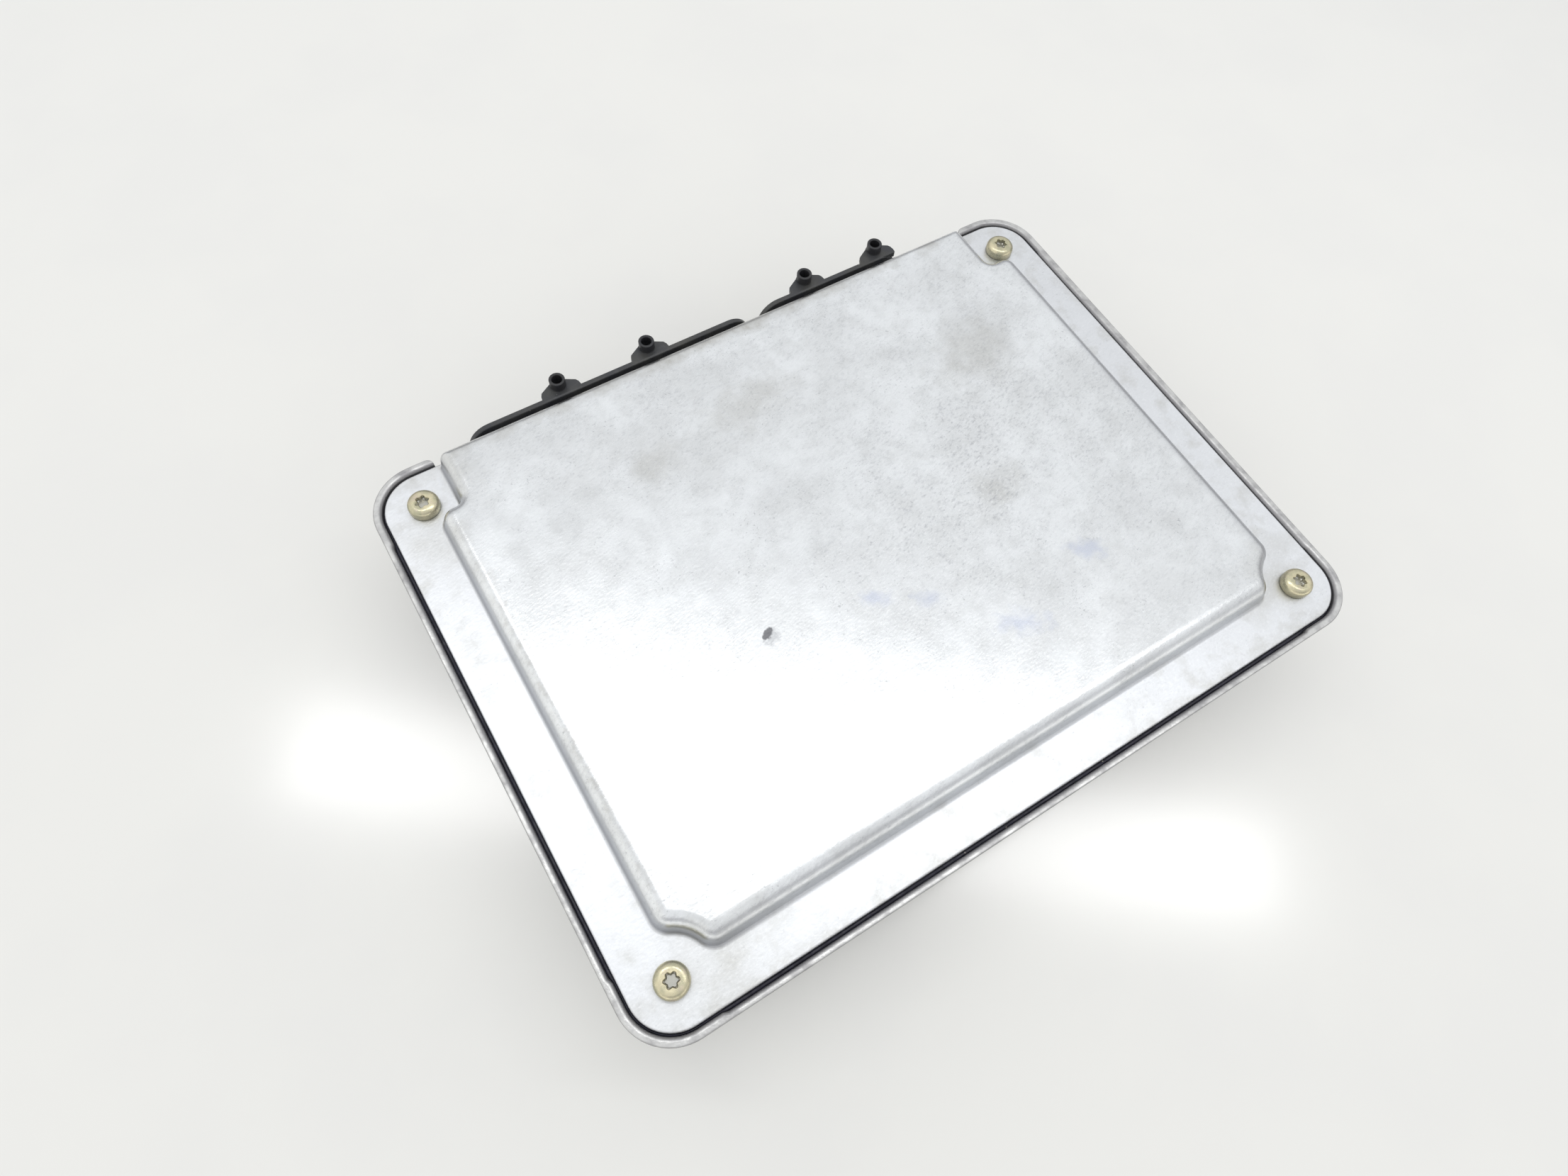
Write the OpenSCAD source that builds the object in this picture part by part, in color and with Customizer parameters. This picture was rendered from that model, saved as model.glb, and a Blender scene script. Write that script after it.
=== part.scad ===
// Engine control unit: cast tub, pressed cover, two-socket header and the board inside.
// Millimetres. +X runs along the connector side, +Y points out of the sockets, +Z is up.
// The origin is the centre of the tub's flat base, on which the unit lies.

/* [Tub] */
// Overall width across the rim
tub_w = 178.4; // [160:0.2:200]
// Overall depth across the rim
tub_d = 132.4; // [120:0.2:150]
// Plan radius of the outer corners
corner_r = 11.5; // [8:0.5:14]
// Height of the cover flange's top face above the base
flange_z = 31.5; // [28:0.5:40]
// Thickness of the side walls
wall_t = 2.4; // [1.8:0.1:3]
// Thickness of the floor
floor_t = 2.4; // [1.8:0.1:4]
// How far each side wall leans in between the ledge and the base
wall_lean = 1.5; // [0.5:0.1:2]
// Radius of the edge round the base
base_edge_r = 2.6; // [1:0.2:3]
// Thickness of the ledge that carries the cover
ledge_t = 3.2; // [2.8:0.1:4]
// Width of the upstanding rim along the sides
rim_t = 1.1; // [0.8:0.1:1.6]
// How far the rim stands above the cover flange
rim_proud = 0.3; // [0:0.1:1]
// Width of the trough between the cover and the rim
trough = 1.2; // [0.8:0.1:2]
// How far the rim thickens into the trough at each corner
corner_pad_t = 0.6; // [0.2:0.1:0.6]
// Length of the thickened rim, measured from the corner along each side
corner_pad_len = 16; // [13:0.5:20]
// Plan radius at the ends of the rim's two hooks
hook_r = 1.6; // [0.5:0.1:2]
// Outer radius of the four screw bosses
boss_r = 6.2; // [5:0.1:7]

/* [Cover] */
// Sheet thickness
cover_t = 1.5; // [1:0.1:2]
// Height of the raised field above the flange
field_h = 5; // [4:0.2:7]
// Slope of the raised field's walls, in degrees from upright
field_draft = 20; // [10:1:30]
// Radius at the foot of the raised field
field_foot_r = 1; // [0.6:0.1:1.6]
// Radius along the raised field's top edge
field_top_r = 1.9; // [1:0.1:2.4]
// Radius where the raised field rolls down over the header
far_roll_r = 2; // [1.8:0.1:2.6]
// Flange width along the left and right sides
side_flange = 9.9; // [9:0.1:12]
// Flange width along the near side
near_flange = 8.4; // [7.5:0.1:10]
// Screw centres, measured in from the cover's edges
screw_inset = 8.6; // [8:0.1:10]
// Radius of the scallop round each near screw
scallop_r = 8.1; // [7.6:0.1:9]
// Radius that blends a scallop into the straight walls
scallop_blend_r = 4; // [3.6:0.1:5]
// How far the raised field steps in beside the left far screw
left_notch_w = 5; // [5:0.1:7]
// How far it steps in beside the right far screw
right_notch_w = 6.4; // [5:0.1:7]
// Length of both steps, from the far edge
notch_len = 13.1; // [12:0.1:15]

/* [Cover screws] */
// Thread diameter
screw_d = 4; // [3:0.1:4.4]
// Length under the head
screw_len = 11.5; // [9:0.5:14]
// Head diameter
screw_head_d = 6.8; // [6.6:0.1:8]
// Head height
screw_head_h = 2.5; // [2.4:0.1:3.4]
// Six-lobe recess, point to point
recess_d = 3.1; // [2.8:0.05:3.8]
// Recess depth
recess_depth = 1.3; // [1:0.1:2]

/* [Header] */
// Share of the spare width beside the header that lies left of it
header_share = 0.2615; // [0.2:0.0005:0.5]
// Length of the large socket's lip
large_len = 72.7; // [66:0.1:73]
// Gap between the two lips
lip_gap = 3; // [2:0.1:6]
// Length of the small socket's lip
small_len = 41; // [39:0.1:46]
// Height of the lip's top above the cover flange
lip_top = 2.6; // [2:0.1:3]
// Height of the lips
lip_h = 29; // [27:0.5:29]
// Thickness of the lip at each mouth
lip_t = 1.3; // [1:0.1:1.8]
// How far the lip stands out from the shroud
lip_out = 2; // [1.2:0.1:2.2]
// Corner radius of the lips
lip_r = 5.5; // [4.5:0.1:7]
// Wall thickness of the shrouds
shroud_t = 2; // [1.4:0.1:2.4]
// How far the mouths stand past the cover's far edge
mouth_out = 2.5; // [2:0.1:4]
// Depth of the sockets
socket_depth = 17.4; // [15:0.2:19]
// Thickness of the wall that carries the pins
pin_wall_t = 3.2; // [2:0.1:4]
// Thickness of the plate that closes the tub's opening
plate_t = 2.4; // [1.8:0.1:2.8]
// How far the plate overlaps the tub wall around the opening
plate_lap = 2; // [1.2:0.1:2.4]
// Thickness of the bead between the plate and the tub wall
header_seal_t = 0.4; // [0.2:0.1:0.8]

/* [Locking studs] */
// Stud diameter
stud_d = 3.7; // [3:0.1:4.2]
// Bore of the hollow stud
stud_bore_d = 2.4; // [1.6:0.1:2.6]
// Stud height above its tab
stud_h = 2.3; // [1.8:0.1:2.4]
// Width of each tab
tab_w = 9.7; // [8:0.1:11]
// Thickness of each tab
tab_t = 1.6; // [1.2:0.1:2]
// Stud centre past the mouth
stud_out = 2.4; // [2:0.1:4]
// First stud of the large socket, from the lip's left end
large_stud_x = 23.7; // [18:0.1:28]
// Stud spacing of the large socket
large_stud_gap = 22.8; // [18:0.1:26]
// First stud of the small socket, from the lip's left end
small_stud_x = 14.5; // [8:0.1:15]
// Last stud of the small socket, from the lip's right end
small_stud_end = 5.6; // [5.4:0.1:9]

/* [Pins] */
// Pitch of the pin columns
pin_pitch = 2.8; // [2.5:0.1:3]
// Pitch of the pin rows
row_pitch = 3.6; // [3:0.1:3.8]
// Rows of signal pins in each socket
pin_rows = 4; // [3:1:4]
// Columns of signal pins in the large socket
large_columns = 19; // [12:1:19]
// Columns of signal pins in the small socket
small_columns = 10; // [6:1:10]
// Thickness of every pin
pin_t = 0.8; // [0.6:0.05:1]
// Width of the power blades
blade_w = 2.8; // [2:0.1:3.2]
// Number of power blades
blade_count = 5; // [3:1:5]
// Pitch of the power blades
blade_pitch = 3.4; // [3:0.1:3.6]
// How far the pins stand into the sockets
pin_reach = 8.5; // [6:0.1:9]

/* [Board] */
// Board thickness
board_t = 1.6; // [1:0.1:1.8]
// How far the board's edge lies on the ledge
board_lap = 2; // [1.6:0.1:2.2]
// Gap between the board and the header's back
board_gap = 0.4; // [0.2:0.1:1]
// Height of the power packages, which sit on the heat pads
power_h = 3.5; // [3:0.1:4]
// Thickness of the heat pads
pad_t = 0.5; // [0.3:0.1:1]

/* [Hidden] */

$fn = 48;
// Room left between faces that face each other closely
clear = 0.05;
// Overshoot of cutters past the faces that they open
over = 1;
// Straight pieces in each rounded corner
corner_steps = 8;
// Straight pieces in each rounded edge
edge_steps = 4;

aluminium = [0.78, 0.79, 0.8];
casting = [0.62, 0.63, 0.64];
black_plastic = [0.16, 0.16, 0.17];
sealant = [0.08, 0.08, 0.12];
zinc_yellow = [0.74, 0.68, 0.42];
tin = [0.8, 0.78, 0.72];
board_green = [0.1, 0.32, 0.2];
package_black = [0.1, 0.1, 0.11];

cover_hw = tub_w / 2 - rim_t - trough;
cover_hd = tub_d / 2 - rim_t - trough;
ledge_z = flange_z - cover_t;
ledge_under = ledge_z - ledge_t;
screw_x = cover_hw - screw_inset;
screw_y = cover_hd - screw_inset;

// The cavity: the outline that the raised field and the tub's pocket share
side_x = cover_hw - side_flange;
near_y = -(cover_hd - near_flange);
left_notch_x = side_x - left_notch_w;
right_notch_x = side_x - right_notch_w;
notch_y = cover_hd - notch_len;
far_y = cover_hd;
notch_corner_r = 3.4;
notch_step_r = 1.2;
far_corner_r = 2.2;

// Half width of the gap between the rim's hooks, and of the gate through which the header leaves
hook_x = max(left_notch_x, right_notch_x) + 0.4;
gate_inset = 2.6;
gate_x = min(left_notch_x, right_notch_x) - gate_inset;
gate_gap = 0.3;
// Lower edge of the cover's rolled far side, above the flange
skirt_z = 1;

mouth_y = cover_hd + mouth_out;
socket_floor_y = mouth_y - socket_depth;
header_back_y = socket_floor_y - pin_wall_t;
lip_z1 = flange_z + lip_top;
lip_z0 = lip_z1 - lip_h;
socket_z = (lip_z0 + lip_z1) / 2;
wall_in_y = far_y - wall_t;
plate_y1 = wall_in_y - header_seal_t;
plate_gap = 0.3;
plate_z1 = flange_z + field_h - cover_t - plate_gap;
opening_gap = 0.8;
// The header's plate, placed between the tub's walls beside the far screws
plate_w = large_len + lip_gap + small_len - 2 * lip_out + 2 * opening_gap + 2 * plate_lap;
spare_w = left_notch_x + right_notch_x - 2 * wall_t - plate_w;
plate_x0 = wall_t - left_notch_x + spare_w * header_share;
opening_x0 = plate_x0 + plate_lap;
opening_x1 = opening_x0 + plate_w - 2 * plate_lap;
large_x0 = opening_x0 + opening_gap - lip_out;
large_x1 = large_x0 + large_len;
small_x0 = large_x1 + lip_gap;
small_x1 = small_x0 + small_len;
opening_z0 = lip_z0 + lip_out - opening_gap;

board_fit = 0.15;
board_z1 = ledge_z;
board_z0 = board_z1 - board_t;
board_far_y = header_back_y - board_gap;
pedestal_z = board_z0 - power_h - pad_t;
// Where the pins of the top row turn up, and the step back for each lower row
riser_step = 2.4;
riser_y = header_back_y - riser_step;
pin_tail = 1;
lug_w = 4.5;
lug_len = 7;
lug_t = 5;
header_screw_d = 2.2;
header_screw_len = 5;

blade_margin = 6.7;
blade_to_pins = 3.1;
blade_x = large_x0 + lip_out + shroud_t + blade_margin;
large_pins_x = blade_x + blade_w / 2 + blade_to_pins;
small_pins_x = (small_x0 + small_x1 - (small_columns - 1) * pin_pitch) / 2;
pin_row_z = [for (r = [0:pin_rows - 1]) socket_z + (r - (pin_rows - 1) / 2) * row_pitch];
blade_row_z = [for (r = [0:blade_count - 1]) socket_z + (r - (blade_count - 1) / 2) * blade_pitch];
large_studs = [large_x0 + large_stud_x, large_x0 + large_stud_x + large_stud_gap];
small_studs = [small_x0 + small_stud_x, small_x1 - small_stud_end];
stud_y = mouth_y + stud_out;
header_screw_x = [large_x0 + lip_out + lug_w / 2, small_x1 - lip_out - lug_w / 2];
header_screw_y = header_back_y - lug_len / 2;

// Power packages and the pedestals under them, on the board's deep side
left_pedestal = [-58, near_y + 27.5];
right_pedestal = [52, near_y + 35.5];
power_size = [16, 11];
power_pitch = 18;
power_leads = 10;

// Bodies of the large packages
microcontroller_w = 24;
microcontroller_h = 3.2;
flash_len = 28;
flash_w = 13;
working_memory_len = 18;
working_memory_w = 8;
memory_h = 2.6;
transistor_w = 6.6;
transistor_len = 6.1;
transistor_h = 2.2;

// Places of the other packages on the board
microcontroller_at = [0, -8];
flash_at = [-32, -4];
working_memory_at = [-32, -26];
eeprom_at = [-4, -32];
bus_at = [10, 22];
knock_at = [28, 20];
crystal_at = [24, -8];
choke_at = [-42, 12];
diode_at = [-26, 14];
can_places = [[-60, 10], [-60, 24], [-46, 24]];
transistor_x = [-30, -15, 0, 15];
transistor_y = near_y + 7;
resistor_rows_y = [-36, -24, 2, 14];

// Lead pitch and lead width of the coarse and the fine packages
coarse_pitch = 1.27;
coarse_lead = 0.45;
fine_pitch = 0.8;
fine_lead = 0.35;

// Points along an arc from angle a0 to a1, in degrees
function arc(c, r, a0, a1, n = corner_steps) =
  [for (i = [0:n]) c + r * [cos(a0 + (a1 - a0) * i / n), sin(a0 + (a1 - a0) * i / n)]];

// A rectangle from corner p0 to corner p1 with rounded corners, anticlockwise
function rounded(p0, p1, r) = concat(
  arc([p1.x - r, p0.y + r], r, -90, 0),
  arc([p1.x - r, p1.y - r], r, 0, 90),
  arc([p0.x + r, p1.y - r], r, 90, 180),
  arc([p0.x + r, p0.y + r], r, 180, 270));

// The right half of the cavity outline, moved in by d on the sides and by f at the far side.
// notch_x is the wall's place beside the far screw, where a round corner and a hollow one share the step
function cavity_half(d, f, notch_x) =
  let (
    screw = [screw_x, -screw_y],
    least_r = 0.2,
    blend = max(scallop_blend_r, d + least_r),
    corner = min(max(notch_corner_r, d + least_r), side_x - notch_x - least_r + d),
    step = min(max(notch_step_r, least_r - d), side_x - notch_x - corner),
    reach = scallop_r + blend,
    near_c = [screw.x - sqrt(reach ^ 2 - (near_y + blend - screw.y) ^ 2), near_y + blend],
    side_c = [side_x - blend, screw.y + sqrt(reach ^ 2 - (side_x - blend - screw.x) ^ 2)],
    near_a = atan2(screw.y - near_c.y, screw.x - near_c.x),
    side_a = atan2(screw.y - side_c.y, screw.x - side_c.x),
    far_r = max(far_corner_r - max(d, f), least_r))
  concat(
    arc(near_c, blend - d, -90, near_a),
    arc(screw, scallop_r + d, near_a + 180, side_a + 180),
    arc(side_c, blend - d, side_a, 0),
    arc([side_x - corner, notch_y - corner], corner - d, 0, 90),
    arc([notch_x + step, notch_y + step], step + d, -90, -180, edge_steps),
    arc([notch_x - d - far_r, far_y - f - far_r], far_r, 0, 90, edge_steps));

// The whole cavity outline: the right half, then the mirrored left half, anticlockwise
function cavity(d, f) =
  let (
    right = cavity_half(d, f, right_notch_x),
    left = cavity_half(d, f, left_notch_x),
    n = len(left))
  concat(right, [for (i = [1:n]) [-left[n - i].x, left[n - i].y]]);

// A closed solid through stacked outlines with equal point counts
module loft(outlines, heights) {
  n = len(outlines[0]);
  top = len(outlines) - 1;
  points = [for (k = [0:top], p = outlines[k]) [p.x, p.y, heights[k]]];
  base_face = [[for (i = [0:n - 1]) i]];
  top_face = [[for (i = [0:n - 1]) top * n + n - 1 - i]];
  lower_left = [for (k = [0:top - 1], i = [0:n - 1])
    [k * n + i, (k + 1) * n + i, (k + 1) * n + (i + 1) % n]];
  upper_right = [for (k = [0:top - 1], i = [0:n - 1])
    [k * n + i, (k + 1) * n + (i + 1) % n, k * n + (i + 1) % n]];
  polyhedron(points, concat(base_face, top_face, lower_left, upper_right));
}

module at_corners() {
  for (sx = [-1, 1], sy = [-1, 1])
    translate([sx * screw_x, sy * screw_y, 0]) children();
}

// Plan of the cover, grown by g
module cover_plan(g = 0) {
  polygon(rounded([-cover_hw - g, -cover_hd - g], [cover_hw + g, cover_hd + g], corner_r + g));
}

module tub_plan(inset = 0) {
  half = [tub_w / 2 - inset, tub_d / 2 - inset];
  polygon(rounded(-half, half, corner_r - inset));
}

// The squares at the corners where the rim is thicker, grown by g
module corner_pad_squares(g = 0) {
  for (sx = [-1, 1], sy = [-1, 1])
    translate([sx * tub_w / 2, sy * tub_d / 2])
      square(2 * (corner_pad_len + g), center = true);
}

// Gap at the far side that the rim leaves open between its two hooks, which end in round noses
module hook_gap() {
  translate([-hook_x, 0]) square([2 * hook_x, tub_d]);
  for (side = [0, 1]) mirror([side, 0]) translate([hook_x, tub_d / 2 - hook_r]) difference() {
    translate([-over, 0]) square([hook_r + over, hook_r + over]);
    translate([hook_r, 0]) circle(r = hook_r);
  }
}

module rim_plan() {
  difference() {
    tub_plan();
    tub_plan(rim_t);
    hook_gap();
  }
  difference() {
    intersection() {
      tub_plan();
      corner_pad_squares();
    }
    cover_plan(trough - corner_pad_t);
    hook_gap();
  }
}

// Outside of the tub's pocket: rounded base edge, then walls that lean out to the ledge
module pocket_outside() {
  base_d = wall_lean - wall_t;
  edge = arc([base_d + base_edge_r, base_edge_r], base_edge_r, -90, -180, edge_steps);
  outlines = [for (p = edge) cavity(p.x, p.x - base_d)];
  loft(concat(outlines, [cavity(-wall_t, 0)]), concat([for (p = edge) p.y], [ledge_z - over]));
}

// Inside of the pocket, carried up past the ledge. Its flat floor lies just under the rounded edge
module pocket_inside() {
  floor_r = base_edge_r - 1;
  floor_in = wall_lean + floor_r;
  floor_sink = 0.1;
  floor_lap = 0.3;
  edge = arc([floor_in, floor_t + floor_sink + floor_r], floor_r, -90, -180, edge_steps);
  outlines = [for (p = edge) cavity(p.x, wall_t + p.x - wall_lean)];
  upper = [cavity(0, wall_t), cavity(0, wall_t)];
  loft(concat(outlines, upper), concat([for (p = edge) p.y], [ledge_under, flange_z + over]));
  translate([0, 0, floor_t]) linear_extrude(floor_sink + floor_r / 2)
    polygon(cavity(floor_in - floor_lap, wall_t + floor_r - floor_lap));
}

// Seat of the board, sunk into the ledge
module board_plan(g = 0) {
  intersection() {
    polygon(cavity(-board_lap - g, 0));
    translate([-tub_w / 2, -tub_d / 2]) square([tub_w, tub_d / 2 + board_far_y + g]);
  }
}

module pedestal(place, length) {
  translate([place.x - power_size.x / 2, place.y - length / 2, floor_t - over])
    cube([power_size.x, length, pedestal_z - floor_t + over]);
}

module tub() {
  color(casting) {
    difference() {
      union() {
        translate([0, 0, ledge_under]) linear_extrude(ledge_t) difference() {
          tub_plan();
          intersection() {
            hook_gap();
            translate([-tub_w / 2, far_y]) square([tub_w, tub_d]);
          }
        }
        translate([0, 0, ledge_z - over])
          linear_extrude(flange_z + rim_proud - ledge_z + over) rim_plan();
        pocket_outside();
        translate([-gate_x, wall_in_y, ledge_under])
          cube([2 * gate_x, wall_t, flange_z + skirt_z - clear - ledge_under]);
        at_corners() translate([0, 0, ledge_z - screw_len - cover_t])
          cylinder(r = boss_r, h = screw_len + cover_t - ledge_t / 2);
      }
      pocket_inside();
      translate([0, 0, board_z0]) linear_extrude(board_t + over) board_plan(board_fit);
      translate([opening_x0, wall_in_y - over, opening_z0])
        cube([opening_x1 - opening_x0, wall_t + 2 * over, tub_d]);
      at_corners() translate([0, 0, flange_z - screw_len - over])
        cylinder(d = screw_d + 2 * clear, h = screw_len + over);
    }
    pedestal(left_pedestal, power_pitch + power_size.y);
    pedestal(right_pedestal, 2 * power_pitch + power_size.y);
  }
}

// Section of the raised field's wall as points (inset, height), from foot to top edge.
// shift moves the wall in, foot_r and top_r are its two radii
function field_section(shift, foot_r, top_r) =
  let (
    s = sin(field_draft),
    c = cos(field_draft),
    foot_c = [shift - foot_r * (1 - s) / c, foot_r],
    top_c = [shift + ((field_h - top_r) * s + top_r) / c, field_h - top_r])
  concat(
    arc(foot_c, foot_r, -90, -field_draft, edge_steps),
    arc(top_c, top_r, 180 - field_draft, 90, edge_steps));

// Inset of the rolled far edge at height z of the field
function far_roll(z, r) = z < field_h - r ? 0 : r - sqrt(max(0, r ^ 2 - (z - field_h + r) ^ 2));

// The raised field as a solid: its first outline starts drop below the section's foot
module field(z0, shift, foot_r, top_r, roll_r, far_in, drop) {
  section = field_section(shift, foot_r, top_r);
  outlines = [for (p = section) cavity(p.x, far_in + far_roll(p.y, roll_r))];
  loft(concat([outlines[0]], outlines), concat([z0 - drop], [for (p = section) z0 + p.y]));
}

module cover() {
  hole_gap = 0.3;
  inner_shift = cover_t * (1 - sin(field_draft)) / cos(field_draft);
  color(aluminium) difference() {
    union() {
      translate([0, 0, ledge_z]) linear_extrude(cover_t) cover_plan();
      field(flange_z, 0, field_foot_r, field_top_r, far_roll_r, 0, cover_t / 2);
    }
    field(ledge_z, inner_shift, field_foot_r + cover_t, max(field_top_r - cover_t, 0.3),
      far_roll_r - cover_t, cover_t, over);
    translate([-gate_x - gate_gap, wall_in_y - over, ledge_z - over])
      cube([2 * (gate_x + gate_gap), tub_d, cover_t + skirt_z + over]);
    at_corners() translate([0, 0, ledge_z - over])
      cylinder(d = screw_d + 2 * hole_gap, h = cover_t + 2 * over);
  }
}

// Bead of black sealant in the trough
module cover_seal() {
  bead_sink = 1;
  bead_h = cover_t - bead_sink;
  color(sealant) translate([0, 0, ledge_z]) linear_extrude(bead_h) difference() {
    tub_plan(rim_t + clear);
    cover_plan(clear);
    difference() {
      corner_pad_squares(clear);
      cover_plan(trough - corner_pad_t - clear);
    }
    hook_gap();
  }
}

// Pan-head screw with a six-lobe recess, head up, under-head face at z = 0
module pan_screw(d, length, head_d, head_h) {
  lobe_r = recess_d * 0.135;
  core_d = recess_d * 0.72;
  edge_r = head_h * 0.55;
  under_edge = 0.2;
  difference() {
    union() {
      rotate_extrude() polygon(concat(
        [[0, 0], [head_d / 2 - under_edge, 0], [head_d / 2, under_edge]],
        arc([head_d / 2 - edge_r, head_h - edge_r], edge_r, 0, 90),
        [[0, head_h]]));
      translate([0, 0, -length]) cylinder(d = d, h = length);
    }
    translate([0, 0, head_h - recess_depth]) {
      cylinder(d = core_d, h = recess_depth + over);
      for (a = [0:60:300]) rotate(a) translate([recess_d / 2 - lobe_r, 0, 0])
        cylinder(r = lobe_r, h = recess_depth + over);
    }
  }
}

module cover_screws() {
  color(zinc_yellow) at_corners() translate([0, 0, flange_z])
    pan_screw(screw_d, screw_len, screw_head_d, screw_head_h);
}

// A rounded bar along Y whose section spans x0 to x1 and z0 to z1
module bar_y(x0, x1, z0, z1, r, y0, y1) {
  translate([0, y1, 0]) rotate([90, 0, 0]) linear_extrude(y1 - y0)
    polygon(rounded([x0, z0], [x1, z1], r));
}

// Outside of one socket: shroud and the lip round its mouth
module shroud(x0, x1) {
  bar_y(x0 + lip_out, x1 - lip_out, lip_z0 + lip_out, lip_z1 - lip_out, lip_r - lip_out,
    header_back_y, mouth_y);
  bar_y(x0, x1, lip_z0, lip_z1, lip_r, mouth_y - lip_t, mouth_y);
}

// Hollow of one socket
module socket(x0, x1) {
  side = lip_out + shroud_t;
  least_r = 0.8;
  bar_y(x0 + side, x1 - side, lip_z0 + side, lip_z1 - side, max(lip_r - side, least_r),
    socket_floor_y, mouth_y + over);
}

// Tab with its stud, standing up from z = 0 at the lip's top; the stud's axis is the z axis
module stud_tab() {
  cover_gap = 0.1;
  root_y = cover_gap - stud_out - mouth_out;
  shoulder = [tab_w / 2 - 0.45, -0.25];
  shoulder_len = 1.7;
  nose = [1.5, stud_d / 2 - 0.5];
  nose_rim = 0.2;
  bore_floor = 0.3;
  side = [[tab_w / 2, root_y], [tab_w / 2, shoulder.y - shoulder_len], shoulder, nose];
  translate([0, 0, -tab_t]) linear_extrude(tab_t) union() {
    polygon(concat(side, [for (i = [1:4]) [-side[4 - i].x, side[4 - i].y]]));
    circle(d = stud_d + 2 * nose_rim);
  }
  difference() {
    translate([0, 0, -tab_t / 2]) cylinder(d = stud_d, h = stud_h + tab_t / 2);
    translate([0, 0, bore_floor]) cylinder(d = stud_bore_d, h = stud_h);
  }
}

module stud_tabs() {
  for (x = concat(large_studs, small_studs)) {
    translate([x, stud_y, lip_z1]) stud_tab();
    translate([x, stud_y, lip_z0]) mirror([0, 0, 1]) stud_tab();
  }
}

// Seats of the pins in the socket floors
module pin_slots(x0, columns, rows_z, width) {
  for (c = [0:columns - 1], z = rows_z)
    translate([x0 + c * pin_pitch - width / 2 - clear, header_back_y - over, z - pin_t / 2 - clear])
      cube([width + 2 * clear, pin_wall_t + 2 * over, pin_t + 2 * clear]);
}

module header_body() {
  color(black_plastic) difference() {
    union() {
      shroud(large_x0, large_x1);
      shroud(small_x0, small_x1);
      translate([plate_x0, plate_y1 - plate_t, opening_z0 - plate_lap])
        cube([plate_w, plate_t, plate_z1 - opening_z0 + plate_lap]);
      stud_tabs();
      for (x = header_screw_x)
        translate([x - lug_w / 2, header_back_y - lug_len, board_z0 - lug_t])
          cube([lug_w, lug_len + pin_wall_t / 2, lug_t]);
    }
    socket(large_x0, large_x1);
    socket(small_x0, small_x1);
    pin_slots(blade_x, 1, blade_row_z, blade_w);
    pin_slots(large_pins_x, large_columns, pin_row_z, pin_t);
    pin_slots(small_pins_x, small_columns, pin_row_z, pin_t);
    for (x = header_screw_x)
      translate([x, header_screw_y, board_z1 - header_screw_len - over])
        cylinder(d = header_screw_d + 2 * clear, h = header_screw_len + over);
  }
}

// Bead between the header plate and the tub wall, carried up behind the cover's rolled edge
module header_seal() {
  shroud_top = lip_z1 - lip_out;
  z0 = opening_z0 - plate_lap;
  color(sealant) {
    difference() {
      translate([plate_x0, plate_y1, z0]) cube([plate_w, header_seal_t, flange_z + skirt_z - z0]);
      translate([opening_x0, plate_y1 - over, opening_z0])
        cube([opening_x1 - opening_x0, header_seal_t + 2 * over, tub_d]);
    }
    translate([plate_x0, plate_y1, flange_z + skirt_z])
      cube([plate_w, far_y - cover_t - plate_y1 - clear, plate_z1 - flange_z - skirt_z - clear]);
    translate([opening_x0, plate_y1, shroud_top + clear])
      cube([opening_x1 - opening_x0, wall_t + header_seal_t, flange_z + skirt_z - shroud_top - clear]);
  }
}

module header_screws() {
  head_d = 4;
  head_h = 1.6;
  slot_w = 0.6;
  slot_depth = 0.7;
  color(tin) for (x = header_screw_x) translate([x, header_screw_y, board_z1]) {
    translate([0, 0, -header_screw_len]) cylinder(d = header_screw_d, h = header_screw_len);
    difference() {
      rotate_extrude() polygon(concat([[0, 0]], arc([head_d / 2 - head_h, 0], head_h, 0, 90), [[0, head_h]]));
      translate([-head_d, -slot_w / 2, head_h - slot_depth]) cube([2 * head_d, slot_w, over]);
    }
  }
}

// Right-angle pins: each leaves its socket, turns up behind the header and passes through the board
module pins(x0, columns, rows_z, width) {
  tip = socket_floor_y + pin_reach;
  top = board_z1 + pin_tail;
  rows = len(rows_z);
  for (c = [0:columns - 1], r = [0:rows - 1]) {
    back = riser_y - (rows - 1 - r) * riser_step;
    z = rows_z[r];
    translate([x0 + c * pin_pitch + width / 2, 0, 0]) rotate([90, 0, -90]) linear_extrude(width)
      polygon([[-tip, z - pin_t / 4], [-tip, z + pin_t / 4], [-tip + pin_t, z + pin_t / 2],
        [-back - pin_t / 2, z + pin_t / 2], [-back - pin_t / 2, top], [-back + pin_t / 2, top],
        [-back + pin_t / 2, z - pin_t / 2], [-tip + pin_t, z - pin_t / 2]]);
  }
}

module power_blades() {
  color(tin) pins(blade_x, 1, blade_row_z, blade_w);
}

module large_signal_pins() {
  color(tin) pins(large_pins_x, large_columns, pin_row_z, pin_t);
}

module small_signal_pins() {
  color(tin) pins(small_pins_x, small_columns, pin_row_z, pin_t);
}

// Drilled holes for one block of pins
module pin_holes(x0, columns, rows, width) {
  slot = [width + 0.4, pin_t + 0.4];
  drill = pin_t * 1.6;
  for (c = [0:columns - 1], r = [0:rows - 1])
    translate([x0 + c * pin_pitch, riser_y - r * riser_step, board_z0 - over])
      if (width > drill)
        translate([-slot.x / 2, -slot.y / 2, 0]) cube([slot.x, slot.y, board_t + 2 * over]);
      else
        cylinder(d = drill, h = board_t + 2 * over);
}

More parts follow.
